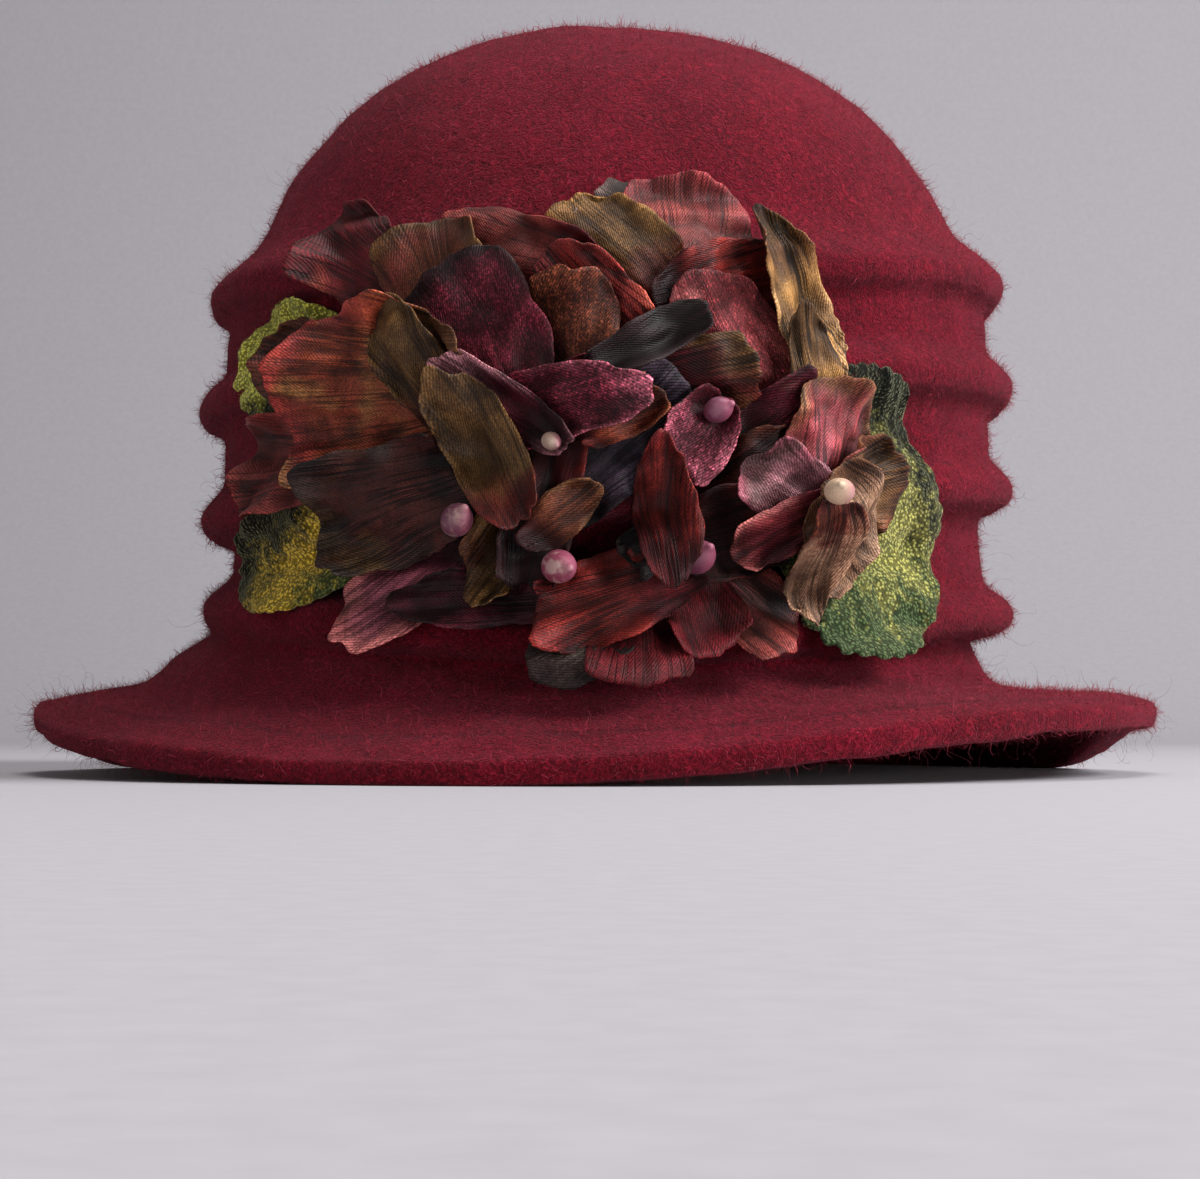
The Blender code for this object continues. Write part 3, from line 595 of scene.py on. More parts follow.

# %% [markdown]
# Where the nap is worth drawing with real fibres is stored on the mesh: everywhere outside,
# less under the brim, hardly any in the crown, and none under the corsage. The hem gets a
# mark for the long hairs that stick out from the edge, and the brim one for its row of
# stitches. A last mark tells open felt from the small openings between petals: no nap grows
# there, and the felt there is painted dark, as painted shade and in place of the dark
# crumpled cloth that fills the real corsage.

# %% Mark the nap on the felt
BRIM_HEIGHT = 0.045


def uncovered(points, normals):
    """1 where the felt lies open, 0 where the corsage covers it."""
    places = unroll(points)
    front = (points[:, 1] < CROWN_Y) & (normals[:, 1] < 0.3)
    near = front & (np.abs(places[:, 0]) < 0.12) & (places[:, 1] > 0.005) & (places[:, 2] > -0.002)
    bare = np.ones(len(points))
    for index in np.flatnonzero(near):
        over = between(ORDER["felt_hat"], places[index, 0], places[index, 1])[1]
        bare[index] = 1.0 if over == FAR_OUT else 0.0
    return bare


def mark_nap(mesh):
    """Store how thick the nap stands, where long hairs stick out, and what lies open."""
    points = mesh_points(mesh)
    normals = mesh_normals(mesh)
    away = points - np.array([CROWN_X, CROWN_Y, 0.0])
    away[:, 2] = 0.25 * away[:, 2]
    away = away / np.linalg.norm(away, axis=1)[:, None]
    outer = np.clip(np.einsum("ij,ij->i", normals, away) * 4 + 0.6, 0, 1)
    upward = np.clip(normals[:, 2] * 3, 0, 1) * (points[:, 2] < 0.05)
    on_brim = points[:, 2] < BRIM_HEIGHT
    below = (normals[:, 2] < -0.4) & on_brim
    bare = uncovered(points, normals)
    # Blurred open-felt mark: small openings between petals count as covered, so they get no nap and the
    # felt finish paints them with shade.
    open_air = drawn_together(mesh, bare[:, None], 0.5, 30)[:, 0]
    open_air = np.clip((open_air - 0.20) / 0.25, 0, 1)
    edge = towards_rim(points)
    ridge = outer * (np.hypot(away[:, 0], away[:, 1]) > 0.9) * 0.10
    marks = {
        "nap": np.maximum(np.maximum(outer, upward), np.where(below, 0.3, 0.0)) * bare * open_air,
        "hem": np.maximum(np.clip((edge - 0.93) * 18, 0, 1), ridge),
        "rim": edge * on_brim,
        "open_air": open_air,
    }
    for name, values in marks.items():
        store(mesh, name, "FLOAT", values)


mark_nap(FELT_MESH)

# %% [markdown]
# Felt has no weave to show, but a fine mat of curled fibres with darker pits between them.
# A bent noise of about 1.6 millimetres gives the mat, three finer ones, each stretched
# another way, give single fibres, and a broad cloud makes it darker and lighter in patches,
# as dye and wear do. The same mix sets both the bump and the colour ramp, so its low places
# are painted darker: partly the wool's own mottling, partly painted shade in the pits and
# the sunk stitch row. The felt in the small openings between petals gets painted shade too.
# The sheen lobe adds the pale bloom that wool shows at a grazing angle.

# %% Finish of the felt
STITCH_LINE = 0.94
STITCH_WAVES = 290.0


def hem_stitches(tree, place):
    """A row of sunk stitches 8 mm in from the rim, 1 where the thread pulls the felt down."""
    rim = Wire(tree, marked(tree, "rim", "Fac"))
    x, y, _ = parts_of(tree, place)
    angle = y.step("ARCTAN2", y, x)
    pulls = angle.step("SINE", angle * STITCH_WAVES)
    line = 1.0 - abs(rim - STITCH_LINE).window(0.003, 0.013)
    return line * (pulls * 0.35 + 0.65)


def felt_finish():
    """Matt wool with a mottled mat of fibres, its pits darkened partly as painted shade, and painted
    shade in the openings between petals.
    """
    material, tree, shader = new_material("boiled wool")
    place = spot_of(tree)
    mat = noise_of(tree, place, 620, 2.5, 0.6, 2.2)
    cloud = noise_of(tree, place, 45, 3.0, 0.55)
    fine = None
    for turn in ((0.3, 0.9, 0.2), (1.2, -0.6, 1.1), (-0.8, 0.4, 2.2)):
        turned = mapped(tree, place, Rotation=turn, Scale=(1, 0.18, 1))
        streaks = noise_of(tree, turned, 2300, 1.0, 0.5, 1.2)
        fine = fine.step("MAXIMUM", fine, streaks) if fine else streaks
    mixed = mat * 0.55 + fine * 0.36 - hem_stitches(tree, place) * 0.08
    # The ramp paints the low places of the mix darker: partly the wool's own mottling, partly painted
    # shade in the pits.
    ramp = add(tree, "ShaderNodeValToRGB", {"Fac": mixed})
    pits, tips = ramp.color_ramp.elements
    pits.position = 0.38
    pits.color = tone(66, 3, 16)
    tips.position = 0.66
    tips.color = tone(160, 30, 54)
    ramp.color_ramp.elements.new(0.51).color = tone(108, 8, 27)
    patches = blend(tree, cloud.window(0.35, 0.68), tone(226, 218, 218), tone(255, 255, 255))
    # Painted shade: felt in the small openings between petals is darkened to about a fifth.
    painted_gap_shade = blend(tree, marked(tree, "open_air", "Fac"), (0.20, 0.22, 0.24, 1.0), WHITE)
    feed(tree, shader, {
        "Base Color": tinted(tree, tinted(tree, ramp.outputs[0], patches), painted_gap_shade),
        "Normal": bumped(tree, mixed, 1.0, 0.0012),
        "Roughness": 0.95, "Specular IOR Level": 0.12,
        "Sheen Weight": 0.18, "Sheen Roughness": 0.45, "Sheen Tint": tone(225, 140, 160),
    })
    return material


FELT = felt_finish()
felt_body = new_piece("felt_body", FELT_MESH, FELT)

# %% [markdown]
# ## The nap
# What makes wool look like wool is its outline: thousands of short curled fibres that blur
# the edge. Hair particles would draw them, but the export needs plain meshes, so Geometry
# Nodes scatter small tapered fibres over the felt, thickest where the mark says so, tilt
# and spin each one at random, and make them real. Two or three shapes are enough for each
# kind of fibre, since turning and scaling hides the repeat.

# %% Make the fibres
SPIKES = (
    ((0, 0, -0.1), (0.35, 0.10, 0.95)),
    ((0, 0, -0.1), (-0.15, 0.30, 0.90)),
)
STRAND_BENDS = (
    ((0, 0, -0.05), (0.30, 0.10, 0.40), (0.85, 0.02, 0.42)),
    ((0, 0, -0.05), (-0.12, 0.32, 0.42), (0.16, 0.80, 0.52)),
    ((0, 0, -0.05), (0.20, -0.22, 0.34), (0.02, -0.75, 0.36)),
)


def curl_bends(steps, width, turns, lean):
    """A long loose curl as a list of places, one for each step."""
    bends = []
    for step in range(steps + 1):
        share = step / steps
        angle = turns * 2 * math.pi * share
        x = width * share ** 0.6 * math.sin(angle) + lean * share
        y = width * share ** 0.6 * (1 - math.cos(angle))
        bends.append((x, y, share * (1 - 0.35 * share) - 0.02))
    return tuple(bends)


def fibre_mesh(name, bends, thickness):
    """A tapered three-sided fibre of unit length that follows a few bends."""
    last = len(bends) - 1
    points = []
    for level, (x, y, z) in enumerate(bends[:last]):
        radius = thickness * (1 - 0.6 * level / last)
        for side in range(3):
            angle = 2 * math.pi * side / 3
            points.append((x + radius * math.cos(angle), y + radius * math.sin(angle), z))
    points.append(bends[last])
    faces = [(2, 1, 0)]
    for level in range(last):
        for side in range(3):
            a = level * 3 + side
            b = level * 3 + (side + 1) % 3
            top = (b + 3, a + 3) if level < last - 1 else (len(points) - 1,)
            faces.append((a, b, *top))
    return built_mesh(name, points, faces)


def fibre_set(name, shapes, thickness):
    """A hidden collection that holds the shapes a scatter picks from."""
    group = bpy.data.collections.new(name)
    for index, bends in enumerate(shapes):
        mesh = fibre_mesh(f"{name}_{index}", bends, thickness)
        group.objects.link(bpy.data.objects.new(f"{name}_{index}", mesh))
    return group


LONG_BENDS = (curl_bends(12, 0.20, 0.9, 0.5), curl_bends(12, 0.13, 1.6, -0.3),
              curl_bends(10, 0.30, 0.6, 0.2))
SHORT_FIBRES = fibre_set("short_fibre", SPIKES, 0.018)
STRANDS = fibre_set("strand", STRAND_BENDS, 0.021)
LONG_FIBRES = fibre_set("long_fibre", LONG_BENDS, 0.0032)

# %% Build the scatter
SCATTER_INPUTS = {
    "Geometry": "Geometry", "Shapes": "Collection", "Density": "Float", "Length": "Float",
    "Tilt": "Float", "Lowest": "Float", "Highest": "Float", "Seed": "Int", "Finish": "Material",
}
LEAST_TILT = 0.8
SIZES = (0.45, 1.25)


def random_number(tree, low, high, seed):
    """A number drawn anew for each fibre."""
    draw = add(tree, "FunctionNodeRandomValue", {2: low, 3: high, "Seed": seed}, data_type="FLOAT")
    return draw.outputs[1]


def in_band(tree, start):
    """Whether a place lies between the lowest and the highest height."""
    height = parts_of(tree, add(tree, "GeometryNodeInputPosition").outputs[0])[2]
    above = add(tree, "FunctionNodeCompare", {0: height, 1: start["Lowest"]}, operation="GREATER_EQUAL")
    under = add(tree, "FunctionNodeCompare", {0: height, 1: start["Highest"]}, operation="LESS_THAN")
    both = add(tree, "FunctionNodeBooleanMath", {0: above.outputs[0], 1: under.outputs[0]},
               operation="AND")
    return both.outputs[0]


def scatter_tree(name, mark):
    """A node tree that scatters the shapes of a collection where a mark on the mesh allows."""
    tree = bpy.data.node_groups.new(name, "GeometryNodeTree")
    for socket, kind in SCATTER_INPUTS.items():
        tree.interface.new_socket(socket, in_out="INPUT", socket_type="NodeSocket" + kind)
    tree.interface.new_socket("Geometry", in_out="OUTPUT", socket_type="NodeSocketGeometry")
    start = add(tree, "NodeGroupInput").outputs
    wanted = add(tree, "GeometryNodeInputNamedAttribute", {"Name": mark}, data_type="FLOAT")
    spots = add(tree, "GeometryNodeDistributePointsOnFaces",
                {"Mesh": start["Geometry"], "Selection": in_band(tree, start), "Seed": start["Seed"],
                 "Density": Wire(tree, wanted.outputs[0]) * start["Density"]})
    lean = random_number(tree, LEAST_TILT, start["Tilt"], 3)
    spin = random_number(tree, 0.0, 2 * math.pi, 5)
    size = random_number(tree, *SIZES, 7)
    turn = add(tree, "ShaderNodeCombineXYZ", {0: lean, 2: spin})
    euler = add(tree, "FunctionNodeEulerToRotation", {0: turn.outputs[0]})
    turned = add(tree, "FunctionNodeRotateRotation",
                 {0: spots.outputs["Rotation"], 1: euler.outputs[0]}, rotation_space="LOCAL")
    shapes = add(tree, "GeometryNodeCollectionInfo",
                 {"Collection": start["Shapes"], "Separate Children": True, "Reset Children": True})
    laid = add(tree, "GeometryNodeInstanceOnPoints",
               {"Points": spots.outputs["Points"], "Instance": shapes.outputs[0],
                "Pick Instance": True, "Rotation": turned.outputs[0],
                "Scale": Wire(tree, size) * start["Length"]})
    real = add(tree, "GeometryNodeRealizeInstances", {0: laid.outputs[0]})
    dressed = add(tree, "GeometryNodeSetMaterial",
                  {"Geometry": real.outputs[0], "Material": start["Finish"]})
    add(tree, "NodeGroupOutput", {0: dressed.outputs[0]})
    return tree


def scatter(name, mesh, tree, material, **values):
    """Run a scatter tree on a mesh and keep what it made as a plain piece."""
    ground = linked(name + "_ground", mesh)
    modifier = ground.modifiers.new("scatter", "NODES")
    modifier.node_group = tree
    sockets = {item.name: item.identifier for item in tree.interface.items_tree
               if item.in_out == "INPUT"}
    for key, value in {**values, "Finish": material}.items():
        modifier[sockets[key]] = value
    made = settled_mesh(ground, name)
    bpy.data.objects.remove(ground)
    points = mesh_points(made)
    points[:, 2] = np.maximum(points[:, 2], 0.0001 + 0.02 * np.abs(points[:, 2]))
    made.vertices.foreach_set("co", points.ravel())
    print(name, len(made.polygons), "faces")
    return new_piece(name, made, material)


NAP_TREE = scatter_tree("felt nap", "nap")
HAIR_TREE = scatter_tree("loose hairs", "hem")

# %% [markdown]
# The fibres are a little lighter and rosier than the felt below, because light comes through
# them. The nap is laid in four bands from the brim to the dome, and the curled strands over
# it in two, so that no piece grows too heavy. No fibre goes below the floor.

# %% Lay the nap and the loose hairs
def fibre_finish(name, low, high, roughness):
    """Wool fibre, lighter towards some of its lengths."""
    material, tree, shader = new_material(name)
    cloud = noise_of(tree, spot_of(tree), 420, 2.0)
    feed(tree, shader, {
        "Base Color": blend(tree, cloud.window(0.3, 0.7), low, high),
        "Roughness": roughness, "Specular IOR Level": 0.25,
        "Sheen Weight": 0.15, "Sheen Tint": tone(230, 150, 165),
    })
    return material


NAP = fibre_finish("wool fibre", tone(102, 9, 27), tone(152, 32, 52), 0.8)
STRAND = fibre_finish("curled fibre", tone(112, 14, 34), tone(170, 52, 72), 0.75)
HAIR = fibre_finish("loose hair", tone(70, 20, 30), tone(120, 40, 56), 0.6)
NAP_LOOK = {"Shapes": SHORT_FIBRES, "Density": 670_000.0, "Length": 0.0019, "Tilt": 1.35}
STRAND_LOOK = {"Shapes": STRANDS, "Density": 160_000.0, "Length": 0.0030, "Tilt": 1.1}
HAIR_LOOK = {"Shapes": LONG_FIBRES, "Density": 44_000.0, "Length": 0.0088, "Tilt": 1.3}
NAP_BANDS = (
    ("nap_brim", NAP_TREE, NAP, NAP_LOOK, 0.0, 0.038, 11),
    ("nap_tucks_low", NAP_TREE, NAP, NAP_LOOK, 0.038, 0.078, 12),
    ("nap_tucks_high", NAP_TREE, NAP, NAP_LOOK, 0.078, 0.112, 13),
    ("nap_dome", NAP_TREE, NAP, NAP_LOOK, 0.112, 0.200, 14),
    ("strands_low", NAP_TREE, STRAND, STRAND_LOOK, 0.0, 0.060, 15),
    ("strands_high", NAP_TREE, STRAND, STRAND_LOOK, 0.060, 0.200, 16),
    ("loose_hairs", HAIR_TREE, HAIR, HAIR_LOOK, 0.0, 0.200, 21),
)
felt_nap = []
for band, band_tree, wool, fibre_look, lowest, highest, band_seed in NAP_BANDS:
    felt_nap.append(scatter(band, FELT_MESH, band_tree, wool, **fibre_look,
                            Lowest=lowest, Highest=highest, Seed=band_seed))

# %% [markdown]
# ## The cloth petals
# Each petal is a scrap of satin, heat-pressed with fine creases that fan out from its foot,
# and left with a raw edge. A flat disc with a bump would look like paper. Here a fine grid
# is drawn to the petal's outline, laid on the outer face of its CAD solid by casting rays
# onto it, and then pleated, ruffled and curled away from the hat only where no other petal
# lies over it. Petals that lie mostly under others are drawn fuller, so that no felt shows.

# %% Draw a petal's outline
GRAIN = 0.00070
OUTLINES = {
    "round": (0.10, 0.00),
    "broad": (0.28, 0.00),
    "pointed": (0.05, 0.38),
    "leaf": (0.25, 0.20),
}


def soften(field, cells):
    """Blur a grid of values over a few cells."""
    steps = np.arange(-3 * cells, 3 * cells + 1)
    weight = np.exp(-0.5 * (steps / cells) ** 2)
    weight = weight / weight.sum()
    wide = np.pad(field, 3 * cells, mode="edge")
    wide = np.apply_along_axis(np.convolve, 0, wide, weight, "valid")
    return np.apply_along_axis(np.convolve, 1, wide, weight, "valid")


def noise_grid(x, y, seed):
    """Noise over two grids of coordinates."""
    flat = [noise.noise(Vector((a, b, 1.7 * seed + 0.35))) for a, b in zip(x.ravel(), y.ravel())]
    return np.array(flat).reshape(x.shape)


def noise_round(angle, scale, seed):
    """Noise that closes on itself round the rim."""
    return noise_grid(np.cos(angle) * scale, np.sin(angle) * scale, seed)


def petal_grid(places, look, seed):
    """A fine grid in the outline of a petal: shares along and across, and places.

    The outline is the CAD solid's, a little fuller towards the tip, with an uneven rim.
    """
    turn = math.radians(look.turn)
    forward = np.array([math.cos(turn), math.sin(turn)])
    sideways = np.array([-math.sin(turn), math.cos(turn)])
    long = places[:, :2] @ forward
    wide = places[:, :2] @ sideways
    half_long = np.ptp(long) / 2
    half_wide = np.ptp(wide) / 2
    rows = max(int(2 * half_long / GRAIN), 14)
    columns = max(int(2 * half_wide / GRAIN), 10)
    x, y = np.meshgrid(np.linspace(-1, 1, rows + 1), np.linspace(-1, 1, columns + 1), indexing="ij")
    square, point = OUTLINES[look.form]
    inward = (1 - square) / 2
    u = x * np.sqrt(1 - inward * y ** 2)
    v = y * np.sqrt(1 - inward * x ** 2)
    v = v * (1 - point * ((u + 1) / 2) ** 2)
    angle = np.arctan2(v, u)
    rim = np.maximum(np.abs(x), np.abs(y))
    slow = noise_round(angle, 1.4, seed)
    medium = noise_round(angle, 3.4, seed + 2)
    quick = noise_round(angle, 11.0, seed + 5)
    stretch = 1 + rim ** 2 * look.ragged * (1.3 * slow + 0.9 * medium + 0.18 * quick)
    if look.lobes:
        teeth = np.abs(np.sin(angle * look.lobes / 2 + 2.2 * slow))
        stretch = stretch + rim ** 4 * (0.030 + 0.03 * medium) * (teeth - 0.6)
    u = u * stretch * (1 + look.grow)
    v = v * stretch * (1 + look.grow) * (0.93 + 0.10 * u)
    f = (long.min() + long.max()) / 2 + u * half_long * np.where(u < 0, 1 + look.foot_reach, 1)
    s = (wide.min() + wide.max()) / 2 + v * half_wide
    return SimpleNamespace(
        x=x, y=y, u=u, v=v, rim=rim, angle=angle, long=half_long, wide=half_wide,
        fan=v / (0.50 + 0.25 * (u + 1)),
        along=f * forward[0] + s * sideways[0], up=f * forward[1] + s * sideways[1])


# %% Lay it on its solid
PULLS = (0.0, 0.03, 0.06, 0.10, 0.15, 0.22, 0.30, 0.45, 0.7, 1.0)


def reach_of(places, faces, grid):
    """How far out the outer face of a CAD solid lies under each point of the grid.

    Beyond the solid's edge the place is pulled in towards the middle until a ray meets it.
    """
    tree = BVHTree.FromPolygons([Vector(place) for place in places], faces)
    middle = (grid.along.mean(), grid.up.mean())
    reach = np.zeros(grid.along.shape)
    for spot in np.ndindex(reach.shape):
        for pull in PULLS:
            along = grid.along[spot] * (1 - pull) + middle[0] * pull
            up = grid.up[spot] * (1 - pull) + middle[1] * pull
            hit = tree.ray_cast(Vector((along, up, FAR_OUT)), -OUTWARD)[0]
            if hit is not None:
                reach[spot] = hit.z
                break
        else:
            reach[spot] = places[:, 2].max()
    return reach


# %% Crease, ruffle and curl the cloth
PLEAT = 0.00110
FINE_PLEAT = 0.00060
SWELL = 0.0026
CRUMPLE = 0.0009
CURL = 0.0034
RUFFLE = 0.0021
GAP_UNDER = 0.00065
GAP_OVER = 0.00045
MOST_LIFT = 0.009


def worst_near(field, pick):
    """The lowest or highest value among each place of a grid and its eight neighbours."""
    wide = np.pad(field, 1, mode="edge")
    rows, columns = field.shape
    return pick.reduce([wide[i:i + rows, j:j + columns] for i in range(3) for j in range(3)])


def room_for(grid, order):
    """The lowest and highest that cloth may lie between what was sewn on before and after it."""
    under = np.zeros(grid.along.shape)
    over = np.zeros(grid.along.shape)
    for spot in np.ndindex(under.shape):
        under[spot], over[spot] = between(order, grid.along[spot], grid.up[spot])
    over = worst_near(over, np.minimum)
    under = worst_near(np.maximum(under, -0.012), np.maximum)
    lowest = np.minimum(under + GAP_UNDER, np.maximum((under + over) / 2, under))
    return lowest, np.maximum(over - GAP_OVER, lowest)


def folds_of(grid, look, seed):
    """How far the cloth stands off its solid's face by pleats, swells, ruffles and curl."""
    pleats = noise_grid(grid.fan * look.pleats, grid.u * 0.8, seed)
    fine = noise_grid(grid.fan * look.pleats * 2.7, grid.u * 1.4, seed + 9)
    folds = (1 - np.abs(pleats) * 2.4) * PLEAT * look.depth + fine * FINE_PLEAT * look.depth
    crumple = 0.4 - np.abs(noise_grid(grid.along * 140, grid.up * 140, seed + 12)) * 2
    swell = noise_grid(grid.x * 1.3, grid.y * 1.3, seed + 3) * SWELL + crumple * CRUMPLE
    side = 0.6 + 0.9 * noise_round(grid.angle, 0.9, seed + 6)
    waves = np.sin(grid.angle * look.waves + seed) * grid.rim ** 3
    lift = CURL * look.curl * side * grid.rim ** 4 + RUFFLE * look.ruffle * waves
    return lift + folds + swell * look.swell


def creased(grid, reach, look, seed):
    """How far out the creased cloth lies, clear of its neighbours."""
    lowest, highest = room_for(grid, ORDER[look.name])
    out = soften(reach, 2) - 0.0002 + folds_of(grid, look, seed)
    out = np.clip(out, lowest, np.minimum(highest, reach + MOST_LIFT))
    out = soften(out, 1)
    return np.clip(out, np.minimum(lowest, out + 0.0002), np.maximum(highest, lowest))


def sheet_mesh(name, grid, out):
    """The laid grid as a mesh that faces outward, with its threads and places stored."""
    rows, columns = out.shape
    places = np.stack([grid.along.ravel(), grid.up.ravel(), out.ravel()], axis=1)
    faces = []
    for i in range(rows - 1):
        for j in range(columns - 1):
            a = i * columns + j
            faces.append((a, a + columns, a + columns + 1, a + 1))
    mesh = built_mesh(name, roll(places).tolist(), faces)
    # How far each place stands above or below its surroundings; the satin paints light and shade from
    # it.
    relief = np.clip((out - soften(out, 3)) / 0.0007, -1, 1)
    none = 0 * out
    layers = {
        "place": ((grid.u + 1) / 2, grid.v, grid.rim),
        "thread": (grid.fan * grid.wide, grid.u * grid.long, none),
        "relief": (relief, none, none),
    }
    for key, values in layers.items():
        store(mesh, key, "FLOAT_VECTOR", np.stack(values, axis=-1))
    middle = mesh.polygons[len(mesh.polygons) // 2]
    away = middle.center - Vector((CROWN_X, CROWN_Y, middle.center.z))
    if middle.normal.dot(away) < 0:
        mesh.flip_normals()
    return mesh


def laid_sheet(look, seed, press=None):
    """A petal or leaf laid on its solid, with its one-sided area and its grid."""
    places, faces = unrolled(look.name)
    grid = petal_grid(places, look, seed)
    out = creased(grid, reach_of(places, faces, grid), look, seed)
    if press:
        out = out - press(grid)
    mesh = sheet_mesh(look.name + "_cloth", grid, out)
    return mesh, sum(face.area for face in mesh.polygons), grid


def give_wall(piece, thickness):
    """The cloth's thickness, grown inwards."""
    wall = piece.modifiers.new("thickness", "SOLIDIFY")
    wall.thickness = thickness
    wall.offset = -1.0


# %% [markdown]
# ## The satin finish
# Over the dyed colours lie the weave, whose slanting twill lines stand about half a millimetre
# apart, and the pressed creases, whose darkness is painted shade. Both follow the cloth, so
# they read the threads stored on the mesh. Painted shade also darkens each petal towards its
# foot and in the hollows of its folds, with painted light on the raised places, a painted
# highlight along the raw rim and painted sparkle in a fine grain. Some petals are a
# glittering crepe instead, with bright flecks painted as glints. One function wires all of
# this from a row of the table.

# %% Wire the satin
TWILL_STEP = 0.00062


def satin_colour(tree, look, place, spot, seed):
    """The dyed colour from foot to rim, with a blot and painted shade towards the foot, before weave
    and creases.
    """
    along, _, edge = parts_of(tree, place)
    drift = (noise_of(tree, spot, 95, 3.0, 0.6, 0.5) - 0.5) * 0.7
    along = along + drift
    colour = blend(tree, along.window(0.06, 0.42), DYES[look.foot], DYES[look.body])
    # Painted shade: the colour darkens towards the petal's foot, where it lies deep in the corsage.
    painted_foot_shade = blend(tree, along.window(-0.10, 0.45), (0.42, 0.36, 0.36, 1.0), WHITE)
    colour = tinted(tree, colour, painted_foot_shade)
    tipped = (edge + drift).window(0.62, 1.02) * along.window(0.30, 0.72)
    colour = blend(tree, tipped, colour, DYES[look.rim])
    shifted = mapped(tree, spot, Location=(seed * 0.7, seed * 1.3, 0))
    blotted = noise_of(tree, shifted, 70, 2.0, 0.5, 0.3).window(0.50, 0.70) * 0.8
    colour = blend(tree, blotted, colour, DYES[look.blot])
    depth = noise_of(tree, shifted, 130, 3.0, 0.6, 0.8).window(0.34, 0.64)
    stain = blend(tree, depth, (0.52, 0.40, 0.38, 1.0), (1.12, 0.95, 0.90, 1.0))
    return tinted(tree, colour, stain)


def crease_height_and_shade(tree, look, thread, seed):
    """Pressed creases: narrow lines of painted shade in bands that run with the threads from foot to
    rim, and broad smudges of painted shade and light; the same value is their bump height.
    """
    shift = (seed * 0.37, seed * 0.11, 0)
    stretched = mapped(tree, thread, Scale=(1, 0.05, 1), Location=shift)
    bands = mapped(tree, thread, Scale=(1, 0.30, 1), Location=shift)
    lines = noise_of(tree, stretched, 640, 2.0, 0.6, 0.25)
    narrow = 1.0 - abs(lines - 0.5).window(0.015, 0.075)
    where = noise_of(tree, bands, 170, 2.0).window(0.32, 0.58)
    pressed = narrow * where * (0.34 + 0.36 * min(look.depth, 1.5))
    broad = noise_of(tree, stretched, 260, 2.0, 0.5, 0.2)
    return 1.0 - pressed - (0.5 - broad) * 0.30


def twill(tree, thread):
    """The slanting lines of a satin twill, from 0 to 1."""
    across, along, _ = parts_of(tree, thread)
    slant = (across + along * 0.75) * (2 * math.pi / TWILL_STEP)
    return slant.step("SINE", slant) * 0.5 + 0.5


def glittered(tree, colour, thread, amount):
    """Cloth with dark grains and bright flecks in it; the flecks' brightness is a painted glint, the
    colour lifted far above white.
    """
    grain = add(tree, "ShaderNodeTexVoronoi", {"Vector": thread, "Scale": 2600.0})
    drawn = add(tree, "ShaderNodeSeparateColor", {0: grain.outputs["Color"]})
    flecks = Wire(tree, drawn.outputs[0])
    colour = blend(tree, flecks.window(0.30, 0.0) * (0.6 * amount), colour, tone(26, 10, 16))
    # Painted glint: the bright flecks are the colour lifted far above white.
    painted_glint = tinted(tree, colour, (3.2, 2.9, 3.0, 1.0))
    return blend(tree, flecks.window(0.86 - 0.25 * amount, 1.0) * (0.9 * amount), colour, painted_glint)


def satin_finish(look, seed):
    """One petal's cloth: dyed, creased and woven, with flecks where it glitters. Creases, hollows and
    foot carry painted shade, raised folds painted light, the rim a painted highlight, the grain painted
    sparkle and the flecks painted glints.
    """
    material, tree, shader = new_material(look.name + "_cloth")
    place = marked(tree, "place")
    thread = marked(tree, "thread")
    # Painted light and shade from the laid cloth's relief: raised places lighter, hollows darker; the
    # product also deepens the bump.
    painted_fold_shade = parts_of(tree, marked(tree, "relief"))[0] * 0.45 + 0.95
    creases = crease_height_and_shade(tree, look, thread, seed) * painted_fold_shade
    weave = twill(tree, thread)
    # The creases' painted shade and the folds' painted light and shade, as a grey that scales the dyed
    # colour.
    grey = add(tree, "ShaderNodeCombineColor", {0: creases, 1: creases, 2: creases}).outputs[0]
    colour = tinted(tree, satin_colour(tree, look, place, spot_of(tree), seed), grey)
    colour = blend(tree, weave, tinted(tree, colour, (0.64, 0.60, 0.60, 1.0)),
                   tinted(tree, colour, (1.48, 1.42, 1.42, 1.0)))
    # Fine grain: partly the cloth's own speckle, partly painted sparkle of its threads, as darker and
    # lighter copies of the colour.
    grains = noise_of(tree, thread, 2300, 1.0, 0.5).window(0.30, 0.72)
    colour = blend(tree, grains, tinted(tree, colour, (0.66, 0.62, 0.62, 1.0)),
                   tinted(tree, colour, (1.55, 1.48, 1.46, 1.0)))
    # Painted highlight: a thin lighter line along the rim, where the frayed edge catches light.
    painted_rim_highlight = parts_of(tree, place)[2].window(0.97, 1.0) * 0.5
    colour = blend(tree, painted_rim_highlight, colour, tinted(tree, colour, (1.35, 1.3, 1.25, 1.0)))
    if look.glitter > 0:
        colour = glittered(tree, colour, thread, look.glitter)
    feed(tree, shader, {
        "Base Color": colour,
        "Normal": bumped(tree, weave * 0.25 + creases, 0.7, 0.0003),
        "Roughness": noise_of(tree, thread, 300, 2.0).window(0.2, 0.8) * 0.18 + 0.46,
        "Specular IOR Level": 0.26,
        "Sheen Weight": 0.04, "Sheen Roughness": 0.35, "Sheen Tint": tone(240, 205, 205),
    })
    return material


# %% Lay all petals
PETAL_THICKNESS = 0.00030
cloth_pieces = []
for seed, look in enumerate(PETALS, start=1):
    sheet, sheet_area, sheet_grid = laid_sheet(look, seed)
    petal = new_piece("cloth_" + look.name, sheet, satin_finish(look, seed))
    give_wall(petal, PETAL_THICKNESS)
    cloth_pieces.append((petal, sheet_area, sheet_grid, look))
print(len(cloth_pieces), "petals,", sum(len(p[0].data.polygons) for p in cloth_pieces), "faces")

